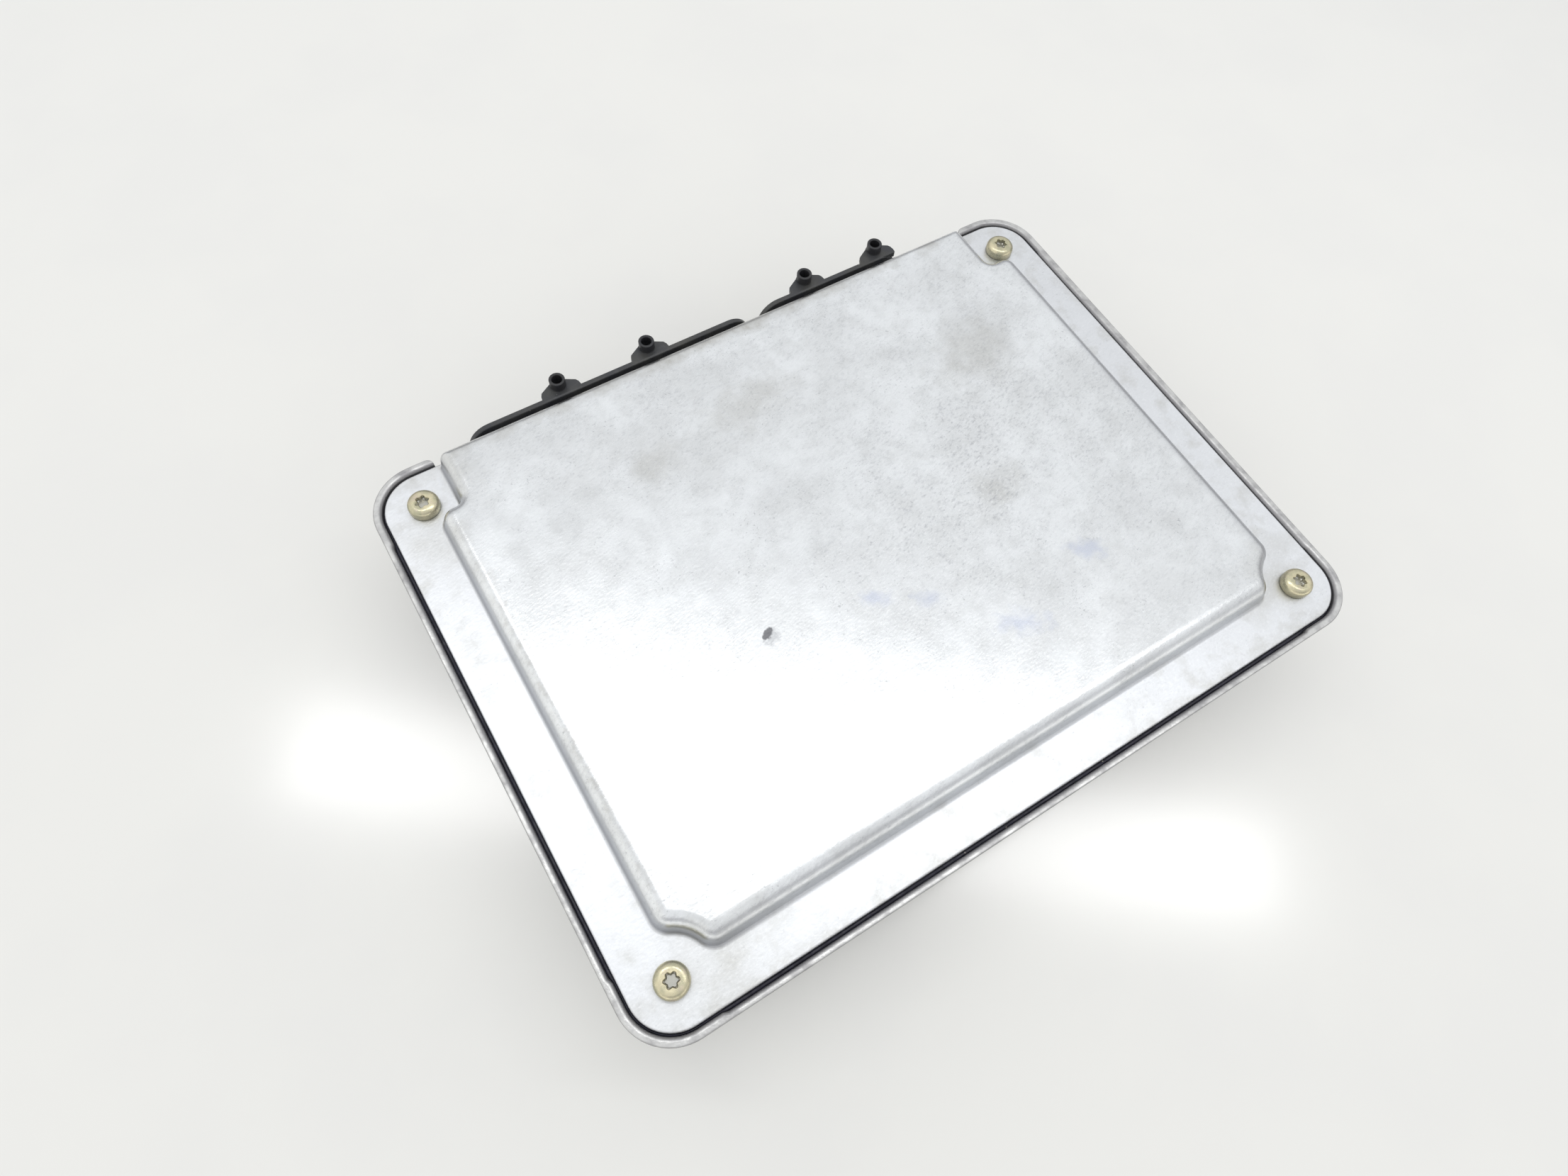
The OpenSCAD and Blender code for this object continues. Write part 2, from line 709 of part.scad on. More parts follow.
module circuit_board() {
  color(board_green) difference() {
    translate([0, 0, board_z0]) linear_extrude(board_t) board_plan();
    pin_holes(blade_x, 1, blade_count, blade_w);
    pin_holes(large_pins_x, large_columns, pin_rows, pin_t);
    pin_holes(small_pins_x, small_columns, pin_rows, pin_t);
    for (x = header_screw_x) translate([x, header_screw_y, board_z0 - over])
      cylinder(d = header_screw_d + 2 * board_fit, h = board_t + 2 * over);
  }
}

// Puts a package on the board's deep side at place p
module deep_side(p) {
  translate([p.x, p.y, board_z0]) mirror([0, 0, 1]) children();
}

// Puts a part on the board's cover side at place p
module cover_side(p) {
  translate([p.x, p.y, board_z1]) children();
}

// One gull-wing lead, leaving a package face at y = 0 towards +Y, its foot on z = 0
module gull_lead(width, shoulder_z) {
  foil = 0.2;
  bend = 0.4;
  knee = 0.6;
  toe = 1.3;
  rotate([90, 0, 90]) translate([0, 0, -width / 2]) linear_extrude(width)
    polygon([[-bend, shoulder_z], [bend, shoulder_z], [knee, 0], [toe, 0], [toe, foil], [knee + foil, foil],
      [knee, shoulder_z + foil], [-bend, shoulder_z + foil]]);
}

// Moulded package of size s with leads on two or four sides
module lead_package(s, pitch, x_leads, y_leads, lead_w) {
  stand = 0.15;
  bevel = 0.25;
  shoulder_z = s.z * 0.45;
  translate([0, 0, stand]) linear_extrude(s.z - stand)
    polygon([[-s.x / 2 + bevel, -s.y / 2], [s.x / 2 - bevel, -s.y / 2], [s.x / 2, -s.y / 2 + bevel],
      [s.x / 2, s.y / 2 - bevel], [s.x / 2 - bevel, s.y / 2], [-s.x / 2 + bevel, s.y / 2],
      [-s.x / 2, s.y / 2 - bevel], [-s.x / 2, -s.y / 2 + bevel]]);
  for (turn = [0, 180]) rotate(turn) for (i = [0:1:x_leads - 1])
    translate([(i - (x_leads - 1) / 2) * pitch, s.y / 2, 0]) gull_lead(lead_w, shoulder_z);
  for (turn = [90, 270]) rotate(turn) for (i = [0:1:y_leads - 1])
    translate([(i - (y_leads - 1) / 2) * pitch, s.x / 2, 0]) gull_lead(lead_w, shoulder_z);
}

module microcontroller() {
  size = [microcontroller_w, microcontroller_w, microcontroller_h];
  leads = 24;
  color(package_black) deep_side(microcontroller_at)
    lead_package(size, fine_pitch, leads, leads, fine_lead);
}

module flash_memory() {
  size = [flash_len, flash_w, memory_h];
  leads = 22;
  color(package_black) deep_side(flash_at) lead_package(size, coarse_pitch, leads, 0, coarse_lead);
}

module working_memory() {
  size = [working_memory_len, working_memory_w, memory_h];
  leads = 14;
  color(package_black) deep_side(working_memory_at) lead_package(size, coarse_pitch, leads, 0, coarse_lead);
}

// The eight-lead package that the small chips share
module small_package() {
  size = [5, 4, 1.7];
  leads = 4;
  lead_package(size, coarse_pitch, leads, 0, coarse_lead);
}

module eeprom_chip() {
  color(package_black) deep_side(eeprom_at) small_package();
}

module bus_transceiver() {
  color(package_black) deep_side(bus_at) small_package();
}

module knock_signal_chip() {
  size = [12.8, 7.5, 2.4];
  leads = 10;
  color(package_black) deep_side(knock_at) lead_package(size, coarse_pitch, leads, 0, coarse_lead);
}

module oval(length, width) {
  square([length - width, width], center = true);
  for (side = [-1, 1]) translate([side * (length - width) / 2, 0]) circle(d = width);
}

// Metal-cased crystal: a flat oval can on a base flange
module quartz_crystal() {
  can = [10.2, 3.8, 3.6];
  flange_out = 0.5;
  flange_h = 0.5;
  color(tin) deep_side(crystal_at) {
    linear_extrude(flange_h) oval(can.x + 2 * flange_out, can.y + 2 * flange_out);
    linear_extrude(can.z) oval(can.x, can.y);
  }
}

module power_package() {
  lead_package([power_size.x, power_size.y, power_h], coarse_pitch, power_leads, 0, coarse_lead);
}

module injector_drivers() {
  color(package_black) for (i = [-1:1]) deep_side(right_pedestal + [0, i * power_pitch]) power_package();
}

module throttle_driver() {
  color(package_black) deep_side(left_pedestal - [0, power_pitch / 2]) power_package();
}

module voltage_regulator() {
  color(package_black) deep_side(left_pedestal + [0, power_pitch / 2]) power_package();
}

// Pads that carry heat from the power packages to the tub's pedestals
module heat_pads() {
  margin = 1;
  pad = power_size - 2 * [margin, margin];
  places = concat(
    [for (i = [-1:1]) right_pedestal + [0, i * power_pitch]],
    [for (i = [-0.5, 0.5]) left_pedestal + [0, i * power_pitch]]);
  color([0.55, 0.6, 0.68]) for (p = places)
    translate([p.x - pad.x / 2, p.y - pad.y / 2, pedestal_z]) cube([pad.x, pad.y, pad_t]);
}

// Flat transistor packages: moulded body, heat tab and two legs
module output_transistors() {
  body = [transistor_w, transistor_len, transistor_h];
  stand = 0.1;
  tab = [5.4, 2.4, 0.6];
  tab_under = 1.1;
  leg_x = 2.3;
  leg_w = 0.8;
  leg_z = 1;
  color(package_black) for (x = transistor_x) deep_side([x, transistor_y]) {
    translate([-body.x / 2, -body.y / 2, stand]) cube(body);
    translate([-tab.x / 2, body.y / 2 - tab_under, 0]) cube(tab);
    for (side = [-1, 1]) translate([side * leg_x, -body.y / 2, 0]) mirror([0, 1, 0]) gull_lead(leg_w, leg_z);
  }
}

// Aluminium cans with a crimp groove on a moulded foot
module electrolytic_capacitors() {
  can_r = 5;
  can_h = 13;
  foot_out = 0.3;
  foot_h = 1;
  groove_z = 3.1;
  groove_r = 0.5;
  edge = 0.6;
  foot = 2 * (can_r + foot_out);
  color(tin) for (p = can_places) deep_side(p) {
    translate([-foot / 2, -foot / 2, 0]) cube([foot, foot, foot_h]);
    rotate_extrude() polygon(concat(
      [[0, foot_h / 2], [can_r, foot_h / 2]],
      arc([can_r, groove_z], groove_r, 270, 90, edge_steps),
      [[can_r, can_h - edge], [can_r - edge, can_h], [0, can_h]]));
  }
}

// Drum-core choke: two flanges and the wound waist between them
module supply_choke() {
  flange_r = 6.2;
  flange_h = 1.4;
  waist_r = 5.4;
  shoulder = 0.4;
  drum_h = 8.4;
  color([0.35, 0.25, 0.18]) deep_side(choke_at) rotate_extrude()
    polygon([[0, 0], [flange_r, 0], [flange_r, flange_h], [waist_r, flange_h + shoulder],
      [waist_r, drum_h - flange_h - shoulder], [flange_r, drum_h - flange_h], [flange_r, drum_h],
      [0, drum_h]]);
}

module supply_diode() {
  body = [6.8, 5.8, 2.2];
  stand = 0.1;
  leg = [1.2, 3, 1.2];
  color(package_black) deep_side(diode_at) {
    translate([-body.x / 2, -body.y / 2, stand]) cube(body);
    for (side = [-1, 1]) translate([side * body.x / 2 - leg.x / 2, -leg.y / 2, 0]) cube(leg);
  }
}

// A row of chip parts of size s with metal end caps
module chip_row(count, pitch, s) {
  skin = 0.03;
  cap_len = 0.3;
  for (i = [0:count - 1]) translate([(i - (count - 1) / 2) * pitch, 0, 0]) {
    translate([-s.x / 2, -s.y / 2, skin]) cube([s.x, s.y, s.z - 2 * skin]);
    for (side = [-1, 1]) translate([-s.x / 2 - skin, side * (s.y / 2 + skin - cap_len / 2) - cap_len / 2, 0])
      cube([s.x + 2 * skin, cap_len, s.z]);
  }
}

// Chip capacitors that filter each line as it leaves the header
module filter_capacitors() {
  size = [1.25, 2, 0.9];
  row_gap = 4;
  row_y = riser_y - (blade_count - 1) * riser_step - row_gap;
  color([0.72, 0.6, 0.45]) {
    cover_side([large_pins_x + (large_columns - 1) * pin_pitch / 2, row_y])
      chip_row(large_columns, pin_pitch, size);
    cover_side([small_pins_x + (small_columns - 1) * pin_pitch / 2, row_y])
      chip_row(small_columns, pin_pitch, size);
  }
}

module chip_resistors() {
  size = [0.8, 1.6, 0.45];
  per_row = 18;
  pitch = 4.2;
  color([0.2, 0.2, 0.22]) for (y = resistor_rows_y) cover_side([0, y]) chip_row(per_row, pitch, size);
}

tub();
cover();
cover_seal();
cover_screws();
header_body();
header_seal();
header_screws();
power_blades();
large_signal_pins();
small_signal_pins();
circuit_board();
microcontroller();
flash_memory();
working_memory();
eeprom_chip();
quartz_crystal();
injector_drivers();
throttle_driver();
voltage_regulator();
output_transistors();
electrolytic_capacitors();
supply_choke();
supply_diode();
bus_transceiver();
knock_signal_chip();
filter_capacitors();
chip_resistors();
heat_pads();
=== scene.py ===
import math

import bmesh
import bpy
from mathutils import Matrix, Vector
from mathutils.geometry import tessellate_polygon


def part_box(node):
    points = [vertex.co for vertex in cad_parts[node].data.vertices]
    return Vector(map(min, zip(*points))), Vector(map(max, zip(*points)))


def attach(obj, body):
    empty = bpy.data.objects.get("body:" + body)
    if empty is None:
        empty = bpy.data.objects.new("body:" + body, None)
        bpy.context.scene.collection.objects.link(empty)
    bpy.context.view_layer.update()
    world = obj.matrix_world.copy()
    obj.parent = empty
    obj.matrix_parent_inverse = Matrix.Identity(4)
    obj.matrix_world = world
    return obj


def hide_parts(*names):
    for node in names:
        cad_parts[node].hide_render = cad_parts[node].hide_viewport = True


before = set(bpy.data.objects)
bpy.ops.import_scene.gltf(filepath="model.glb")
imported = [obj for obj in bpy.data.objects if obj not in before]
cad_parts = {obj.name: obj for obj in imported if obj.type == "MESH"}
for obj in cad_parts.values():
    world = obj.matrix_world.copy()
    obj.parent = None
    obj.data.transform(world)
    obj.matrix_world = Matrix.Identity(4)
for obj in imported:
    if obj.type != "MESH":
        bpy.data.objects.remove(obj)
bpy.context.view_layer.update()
scene = bpy.context.scene
scene.view_settings.view_transform = "Standard"


# Tub: one aluminium die casting, with a pocket for the board, a ledge that carries the cover and a thin
# upstanding rim that ends in two hooks beside the plug header. As cast it is dull grey and slightly grainy,
# and handling has rubbed the rim's edges bright. Sizes here and below are in millimetres.
MM = 0.001


def span(node):
    """Lowest and highest corner of a CAD node, in millimetres."""
    low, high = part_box(node)
    return low / MM, high / MM


tub_high = span("tub")[1]
cover_low, cover_high = span("cover")
tub_hw = tub_high.x
tub_hd = tub_high.y
cover_hw = cover_high.x
cover_hd = cover_high.y
ledge_z = cover_low.z
sheet_t = 1.5
flange_z = ledge_z + sheet_t
corner_r = 11.2
cover_r = corner_r - (tub_hw - cover_hw)
screw_inset = 8.6
screw_x = cover_hw - screw_inset
screw_y = cover_hd - screw_inset

# The outline that the cover's raised field and the tub's pocket share: scalloped round the near screws,
# stepped in beside the far ones
side_flange = 9.9
near_flange = 8.4
notch_len = 13.1
right_notch_w = 6.4
left_notch_w = 5.0
scallop_r = 8.1
blend_r = 4.0
notch_corner_r = 3.4
notch_step_r = 1.2
far_corner_r = 2.2
side_x = cover_hw - side_flange
near_y = near_flange - cover_hd
far_y = cover_hd
notch_y = cover_hd - notch_len


def arc(x, y, radius, start, stop, steps=14):
    """Points along an arc, its angles in degrees."""
    turns = [math.radians(start + (stop - start) * i / steps) for i in range(steps + 1)]
    return [(x + radius * math.cos(a), y + radius * math.sin(a)) for a in turns]


def cavity_half(inset, far_inset, wall_y, wall_x, notch_w):
    """The outline's right half, moved in by inset, and by far_inset at the far side."""
    least_r = 0.2
    blend = max(blend_r, inset + least_r)
    corner = min(max(notch_corner_r, inset + least_r), notch_w - least_r + inset)
    step = min(max(notch_step_r, least_r - inset), notch_w - corner)
    reach = scallop_r + blend
    near_c = Vector((screw_x - math.sqrt(reach**2 - (wall_y + blend + screw_y) ** 2), wall_y + blend))
    side_c = Vector((wall_x - blend, math.sqrt(reach**2 - (wall_x - blend - screw_x) ** 2) - screw_y))
    near_a = math.degrees(math.atan2(-screw_y - near_c.y, screw_x - near_c.x))
    side_a = math.degrees(math.atan2(-screw_y - side_c.y, screw_x - side_c.x))
    far_r = max(far_corner_r - max(inset, far_inset), least_r)
    notch_x = wall_x - notch_w
    return (
        arc(*near_c, blend - inset, -90, near_a)
        + arc(screw_x, -screw_y, scallop_r + inset, near_a + 180, side_a + 180)[1:]
        + arc(*side_c, blend - inset, side_a, 0)[1:]
        + arc(wall_x - corner, notch_y - corner, corner - inset, 0, 90)
        + arc(notch_x + step, notch_y + step, step + inset, -90, -180, 8)
        + arc(notch_x - inset - far_r, far_y - far_inset - far_r, far_r, 0, 90, 8)
    )


def cavity(inset, far_inset, wall_y=near_y, left=(side_x, left_notch_w), right=(side_x, right_notch_w)):
    """The whole outline; left and right give each side's x and the width of its notch."""
    left_half = cavity_half(inset, far_inset, wall_y, *left)
    return cavity_half(inset, far_inset, wall_y, *right) + [(-x, y) for x, y in reversed(left_half)]


def inset_loop(points, distance):
    """An anticlockwise loop moved in by a small distance."""
    moved = []
    for before, here, after in zip(points[-1:] + points[:-1], points, points[1:] + points[:1]):
        a = (Vector(here) - Vector(before)).normalized()
        b = (Vector(after) - Vector(here)).normalized()
        n = Vector((-a.y - b.y, a.x + b.x))
        moved.append(tuple(Vector(here) + n * distance / (1 + a.dot(b))))
    return moved


def flat(a, b, level):
    return a, b, level


def loop(bm, points, level, lay=flat):
    """A ring of vertices; lay turns a point and its level into x, y, z."""
    return [bm.verts.new(Vector(lay(a, b, level)) * MM) for a, b in points]


def skin(bm, loops):
    """Faces between each ring and the next."""
    for one, other in zip(loops, loops[1:]):
        for i in range(len(one)):
            bm.faces.new((one[i - 1], one[i], other[i], other[i - 1]))


def fill(bm, *loops):
    """The flat inside the first ring and outside the others."""
    verts = [v for ring in loops for v in ring]
    for corners in tessellate_polygon([[v.co / MM for v in ring] for ring in loops]):
        bm.faces.new([verts[i] for i in corners])


def stack(bm, rings, lay=flat):
    """A closed solid through rings given as (points, level)."""
    loops = [loop(bm, points, level, lay) for points, level in rings]
    skin(bm, loops)
    fill(bm, loops[0])
    fill(bm, loops[-1])


def block(bm, low, high):
    corners = [(low[0], low[1]), (high[0], low[1]), (high[0], high[1]), (low[0], high[1])]
    stack(bm, [(corners, low[2]), (corners, high[2])])


def disc(x, y, radius):
    return arc(x, y, radius, 0, 360, 40)[:-1]


def new_object(name, bm):
    """An object at the origin that holds the mesh."""
    mesh = bpy.data.meshes.new(name)
    bm.to_mesh(mesh)
    bm.free()
    made = bpy.data.objects.new(name, mesh)
    scene.collection.objects.link(made)
    return made


def make_piece(name, bm):
    """A solid, welded, with its faces outward."""
    bmesh.ops.remove_doubles(bm, verts=bm.verts, dist=0.001 * MM)
    bmesh.ops.recalc_face_normals(bm, faces=bm.faces)
    return new_object(name, bm)


def settle(piece, modifier):
    """Keeps what the modifier makes as the piece's own mesh."""
    graph = bpy.context.evaluated_depsgraph_get()
    made = bpy.data.meshes.new_from_object(piece.evaluated_get(graph))
    piece.modifiers.remove(modifier)
    worn = piece.data
    piece.data = made
    bpy.data.meshes.remove(worn)
    made.name = piece.name


def combine(piece, bm, operation):
    """Joins the solids in bm to the piece, or cuts them from it."""
    tool = make_piece("tool", bm)
    change = piece.modifiers.new("Combine", "BOOLEAN")
    change.operation = operation
    change.solver = "EXACT"
    change.object = tool
    settle(piece, change)
    bpy.data.objects.remove(tool)


def shade(piece, angle=38):
    """Smooth shading that keeps edges sharper than angle, with flats left flat."""
    piece.data.shade_smooth()
    piece.data.set_sharp_from_angle(angle=math.radians(angle))
    weights = piece.modifiers.new("Weights", "WEIGHTED_NORMAL")
    weights.keep_sharp = True
    settle(piece, weights)


def finish_piece(piece, material, slot, *replaced):
    piece.data.materials.clear()
    piece.data.materials.append(material)
    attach(piece, "root")
    if replaced:
        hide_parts(*replaced)


rim_t = 1.45
rim_z = flange_z + 0.3
crest_t = 0.55
inner_round = 0.8
outer_round = 0.3
pad_more = 0.35
pad_end = 16
pad_ramp = 1
right_more = 0.55
hook_x = side_x - left_notch_w + 0.4
hook_r = 1.6
wall_t = 2.4
wall_lean = 1.5
base_r = 2.6
floor_r = 1.6
ledge_under = ledge_z - 3.2
ledge_round = 0.4
far_gap = 0.02

nose_x = hook_x + hook_r
nose_y = tub_hd - hook_r
tub_cx = tub_hw - corner_r
tub_cy = tub_hd - corner_r
bend_x = cover_hw - cover_r
bend_y = cover_hd - cover_r
end_x = tub_hw - pad_end
end_y = tub_hd - pad_end


def rim_outside(inset, thick):
    """The rim's outer line, moved in by inset, from the left hook's nose round to the right one's."""
    radius = hook_r - inset
    start_y = tub_hd - thick - pad_more
    start_a = math.degrees(math.asin(max(0, start_y - nose_y) / radius))
    nose = [(nose_x - radius * math.cos(math.radians(start_a)), start_y)]
    nose += arc(nose_x, nose_y, radius, 180 - start_a, 90, 8)
    return (
        [(-x, y) for x, y in nose]
        + arc(-tub_cx, tub_cy, corner_r - inset, 90, 180)
        + arc(-tub_cx, -tub_cy, corner_r - inset, 180, 270)
        + arc(tub_cx, -tub_cy, corner_r - inset, 270, 360)
        + arc(tub_cx, tub_cy, corner_r - inset, 0, 90)
        + nose[::-1]
    )


def rim_inside(thick):
    """The rim's inner line for a thickness, which is more near the corners, from hook to hook."""
    bend_r = cover_r + tub_hw - thick - pad_more - cover_hw
    pad_x = tub_hw - thick - pad_more
    pad_y = tub_hd - thick - pad_more
    thin_x = tub_hw - thick
    thin_y = tub_hd - thick
    left = [(-pad_x, end_y), (-thin_x, end_y - pad_ramp), (-thin_x, pad_ramp - end_y), (-pad_x, -end_y)]
    close_x = thin_x - right_more
    right = [(pad_x, -end_y), (close_x, pad_ramp - end_y), (close_x, end_y - pad_ramp), (pad_x, end_y)]
    near = [(-end_x, -pad_y), (pad_ramp - end_x, -thin_y), (end_x - pad_ramp, -thin_y), (end_x, -pad_y)]
    return (
        arc(-bend_x, bend_y, bend_r, 90, 180)
        + left
        + arc(-bend_x, -bend_y, bend_r, 180, 270)
        + near
        + arc(bend_x, -bend_y, bend_r, 270, 360)
        + right
        + arc(bend_x, bend_y, bend_r, 0, 90)
    )


gap_left = [(-hook_x, far_y)]
gap_right = [(hook_x, far_y)]
outline = rim_outside(0, rim_t)
ledge = gap_left + outline + gap_right
ledge_low = inset_loop(ledge, ledge_round)
ledge_low[0] = ledge[0]
ledge_low[-1] = ledge[-1]
ledge_top = gap_left + outline[:1] + rim_inside(rim_t) + outline[-1:] + gap_right

tub_bm = bmesh.new()
base_d = wall_lean - wall_t
base_edge = arc(base_d + base_r, base_r, base_r, -90, -180, 8)
outside = [loop(tub_bm, cavity(d, d - base_d + far_gap), z) for d, z in base_edge]
lean_left = wall_lean * (ledge_under - base_r) / (ledge_z - 1 - base_r)
outside.append(loop(tub_bm, cavity(base_d - lean_left, far_gap), ledge_under))
skin(tub_bm, outside)
fill(tub_bm, outside[0])
under = loop(tub_bm, ledge_low, ledge_under)
fill(tub_bm, under, outside[-1])
skin(tub_bm, [under, loop(tub_bm, ledge, ledge_under + ledge_round), loop(tub_bm, ledge, ledge_z)])
rim_rings = [loop(tub_bm, outline + rim_inside(rim_t)[::-1], ledge_z)]
for across, up in arc(0, 0, 1, 0, 90, 8):
    thick = crest_t + (rim_t - crest_t) * across
    drop = inner_round * (1 - up)
    inset = outer_round - math.sqrt(outer_round**2 - max(0, outer_round - drop) ** 2)
    rim_rings.append(loop(tub_bm, rim_outside(inset, thick) + rim_inside(thick)[::-1], rim_z - drop))
skin(tub_bm, rim_rings)
fill(tub_bm, rim_rings[-1])
floor_edge = arc(wall_lean + floor_r, wall_t + floor_r, floor_r, -90, -180, 6)
inside = [loop(tub_bm, cavity(d, wall_t + d - wall_lean), z) for d, z in floor_edge]
inside.append(loop(tub_bm, cavity(0, wall_t), ledge_under))
inside.append(loop(tub_bm, cavity(0, wall_t), ledge_z))
skin(tub_bm, inside)
fill(tub_bm, inside[0])
fill(tub_bm, loop(tub_bm, ledge_top, ledge_z), inside[-1])
tub = make_piece("tub_casting", tub_bm)

# Bosses under the four screws, and the upstand on both sides of the plug header
screw_places = [(screw_x, screw_y), (-screw_x, screw_y), (-screw_x, -screw_y), (screw_x, -screw_y)]
boss_r = 6.2
boss_low = ledge_z - 13
boss_high = ledge_z - 1.6
gate_inset = 2.6
gate_x = side_x - right_notch_w - gate_inset
joined = bmesh.new()
for x, y in screw_places:
    stack(joined, [(disc(x, y, boss_r), boss_low), (disc(x, y, boss_r), boss_high)])
block(
    joined,
    (-gate_x, far_y - wall_t + far_gap, ledge_under + 1),
    (gate_x, far_y - 2 * far_gap, tub_high.z),
)
combine(tub, joined, "UNION")

# The opening for the header, the board's seat in the ledge and the screw holes
seal_low, seal_high = span("header_seal")
board_low, board_high = span("circuit_board")
plate_lap = 2
board_lap = 2
board_fit = 0.15
seat_x = side_x + board_lap + board_fit
seat_y = board_high.y + board_fit
seat_edge = [p for p in cavity(-board_lap - board_fit, 0) if p[1] < seat_y]
seat = [p for p in seat_edge if p[0] > 0]
seat += [(seat_x, seat_y), (-seat_x, seat_y)]
seat += [p for p in seat_edge if p[0] < 0]
hole_r = 2.05
hole_low = flange_z - 12.5
cut = bmesh.new()
block(
    cut,
    (seal_low.x + plate_lap, far_y - wall_t - 1, seal_low.z + plate_lap),
    (seal_high.x - plate_lap, far_y + 1, tub_high.z + 1),
)
stack(cut, [(seat, board_low.z), (seat, ledge_z + 1)])
for x, y in screw_places:
    stack(cut, [(disc(x, y, hole_r), hole_low), (disc(x, y, hole_r), flange_z)])
combine(tub, cut, "DIFFERENCE")

# Flat towers on the floor that carry heat away from the power packages
pads_low = span("heat_pads")[0]
tower_inset = 1.3
tower_foot = wall_t - 0.5
towers = bmesh.new()
for node, last in (("injector_drivers", "injector_drivers"), ("throttle_driver", "voltage_regulator")):
    low, high = span(node)
    far = span(last)[1].y - tower_inset
    block(towers, (low.x, low.y + tower_inset, tower_foot), (high.x, far, pads_low.z))
combine(tub, towers, "UNION")
shade(tub)


def put(tree, kind, inputs=None, **settings):
    """Adds a node. inputs gives sockets, by name or number, a value or another node's output."""
    node = tree.nodes.new(kind)
    for key, value in settings.items():
        setattr(node, key, value)
    for key, value in (inputs or {}).items():
        if isinstance(value, bpy.types.NodeSocket):
            tree.links.new(value, node.inputs[key])
        else:
            node.inputs[key].default_value = value
    return node


def new_group(name, inputs):
    """An empty shader node group that gives a mask: the tree, its inputs and the mask's socket."""
    tree = bpy.data.node_groups.new(name, "ShaderNodeTree")
    tree.interface.new_socket("Vector", in_out="INPUT", socket_type="NodeSocketVector")
    for label in inputs:
        tree.interface.new_socket(label, in_out="INPUT", socket_type="NodeSocketFloat")
    tree.interface.new_socket("Mask", in_out="OUTPUT", socket_type="NodeSocketFloat")
    given = tree.nodes.new("NodeGroupInput").outputs
    return tree, given, tree.nodes.new("NodeGroupOutput").inputs["Mask"]


def ramp(tree, value, start, stop, first=0.0, last=1.0):
    """Goes from first to last while the value goes from start to stop."""
    ends = {"From Min": start, "From Max": stop, "To Min": first, "To Max": last}
    return put(tree, "ShaderNodeMapRange", {"Value": value, **ends}).outputs[0]


# Soft cloudy areas: 1 where a smooth noise of that size lies above the level
cloud_group, given, result = new_group("Clouds", ("Size", "Low", "High"))
divided = {0: given["Vector"], 1: given["Size"]}
spread = put(cloud_group, "ShaderNodeVectorMath", divided, operation="DIVIDE")
noise = put(
    cloud_group,
    "ShaderNodeTexNoise",
    {"Vector": spread.outputs[0], "Scale": 1, "Detail": 4, "Roughness": 0.55},
)
cloud_group.links.new(ramp(cloud_group, noise.outputs[0], given["Low"], given["High"]), result)


def clouds(tree, place, size, low=0.45, high=0.6):
    inputs = {"Vector": place, "Size": size, "Low": low, "High": high}
    return put(tree, "ShaderNodeGroup", inputs, node_tree=cloud_group).outputs["Mask"]


def new_material(name, **constants):
    """A material, its tree, its shader and the object coordinates in millimetres."""
    material = bpy.data.materials.new(name)
    material.use_nodes = True
    tree = material.node_tree
    shader = tree.nodes["Principled BSDF"]
    for socket, value in constants.items():
        shader.inputs[socket.replace("_", " ")].default_value = value
    place = put(tree, "ShaderNodeTexCoord").outputs["Object"]
    scaled = put(tree, "ShaderNodeMapping", {"Vector": place, "Scale": (1000, 1000, 1000)})
    return material, tree, shader, scaled.outputs[0]


def mix(tree, factor, first, second):
    """Colour or value between first and second."""
    colour = not isinstance(second, (int, float))
    node = put(tree, "ShaderNodeMix", data_type="RGBA" if colour else "FLOAT")
    for number, value in ((0, factor), (6 if colour else 2, first), (7 if colour else 3, second)):
        if isinstance(value, bpy.types.NodeSocket):
            tree.links.new(value, node.inputs[number])
        else:
            node.inputs[number].default_value = value
    return node.outputs[2 if colour else 0]


def times(tree, first, second):
    product = put(tree, "ShaderNodeMath", {0: first, 1: second}, operation="MULTIPLY", use_clamp=True)
    return product.outputs[0]


def tint(tree, tone, area, share, colour):
    """The tone with a share of the colour in the area."""
    return mix(tree, times(tree, area, share), tone, colour)


def paint(tree, shader, tone, rough):
    tree.links.new(tone, shader.inputs["Base Color"])
    tree.links.new(rough, shader.inputs["Roughness"])


def grain(tree, shader, place, size, height):
    """Fine surface grain through the shader's normal; height in millimetres."""
    noise = put(tree, "ShaderNodeTexNoise", {"Vector": place, "Scale": 1 / size, "Detail": 3})
    bump = put(tree, "ShaderNodeBump", {"Height": noise.outputs[0], "Distance": height * MM, "Strength": 1})
    tree.links.new(bump.outputs[0], shader.inputs["Normal"])


casting, tree, shader, place = new_material("casting", Metallic=0.9)
dull = (0.47, 0.47, 0.485, 1)
pale = (0.58, 0.58, 0.59, 1)
rubbed = (0.62, 0.62, 0.61, 1)
grimy = (0.25, 0.245, 0.25, 1)
height = put(tree, "ShaderNodeSeparateXYZ", {0: place}).outputs[2]
tone = mix(tree, clouds(tree, place, 9.0, 0.35, 0.65), dull, pale)
tone = tint(tree, tone, clouds(tree, place, 2.2, 0.55, 0.75), 0.6, grimy)
tone = tint(tree, tone, ramp(tree, height, ledge_z - 1, ledge_z + 0.5), 0.7, grimy)
rub = times(tree, ramp(tree, height, rim_z - 0.16, rim_z - 0.01), clouds(tree, place, 3.0, 0.25, 0.6))
paint(tree, shader, mix(tree, rub, tone, rubbed), mix(tree, rub, 0.5, 0.3))
grain(tree, shader, place, 0.5, 0.05)
finish_piece(tub, casting, "casting", "tub")


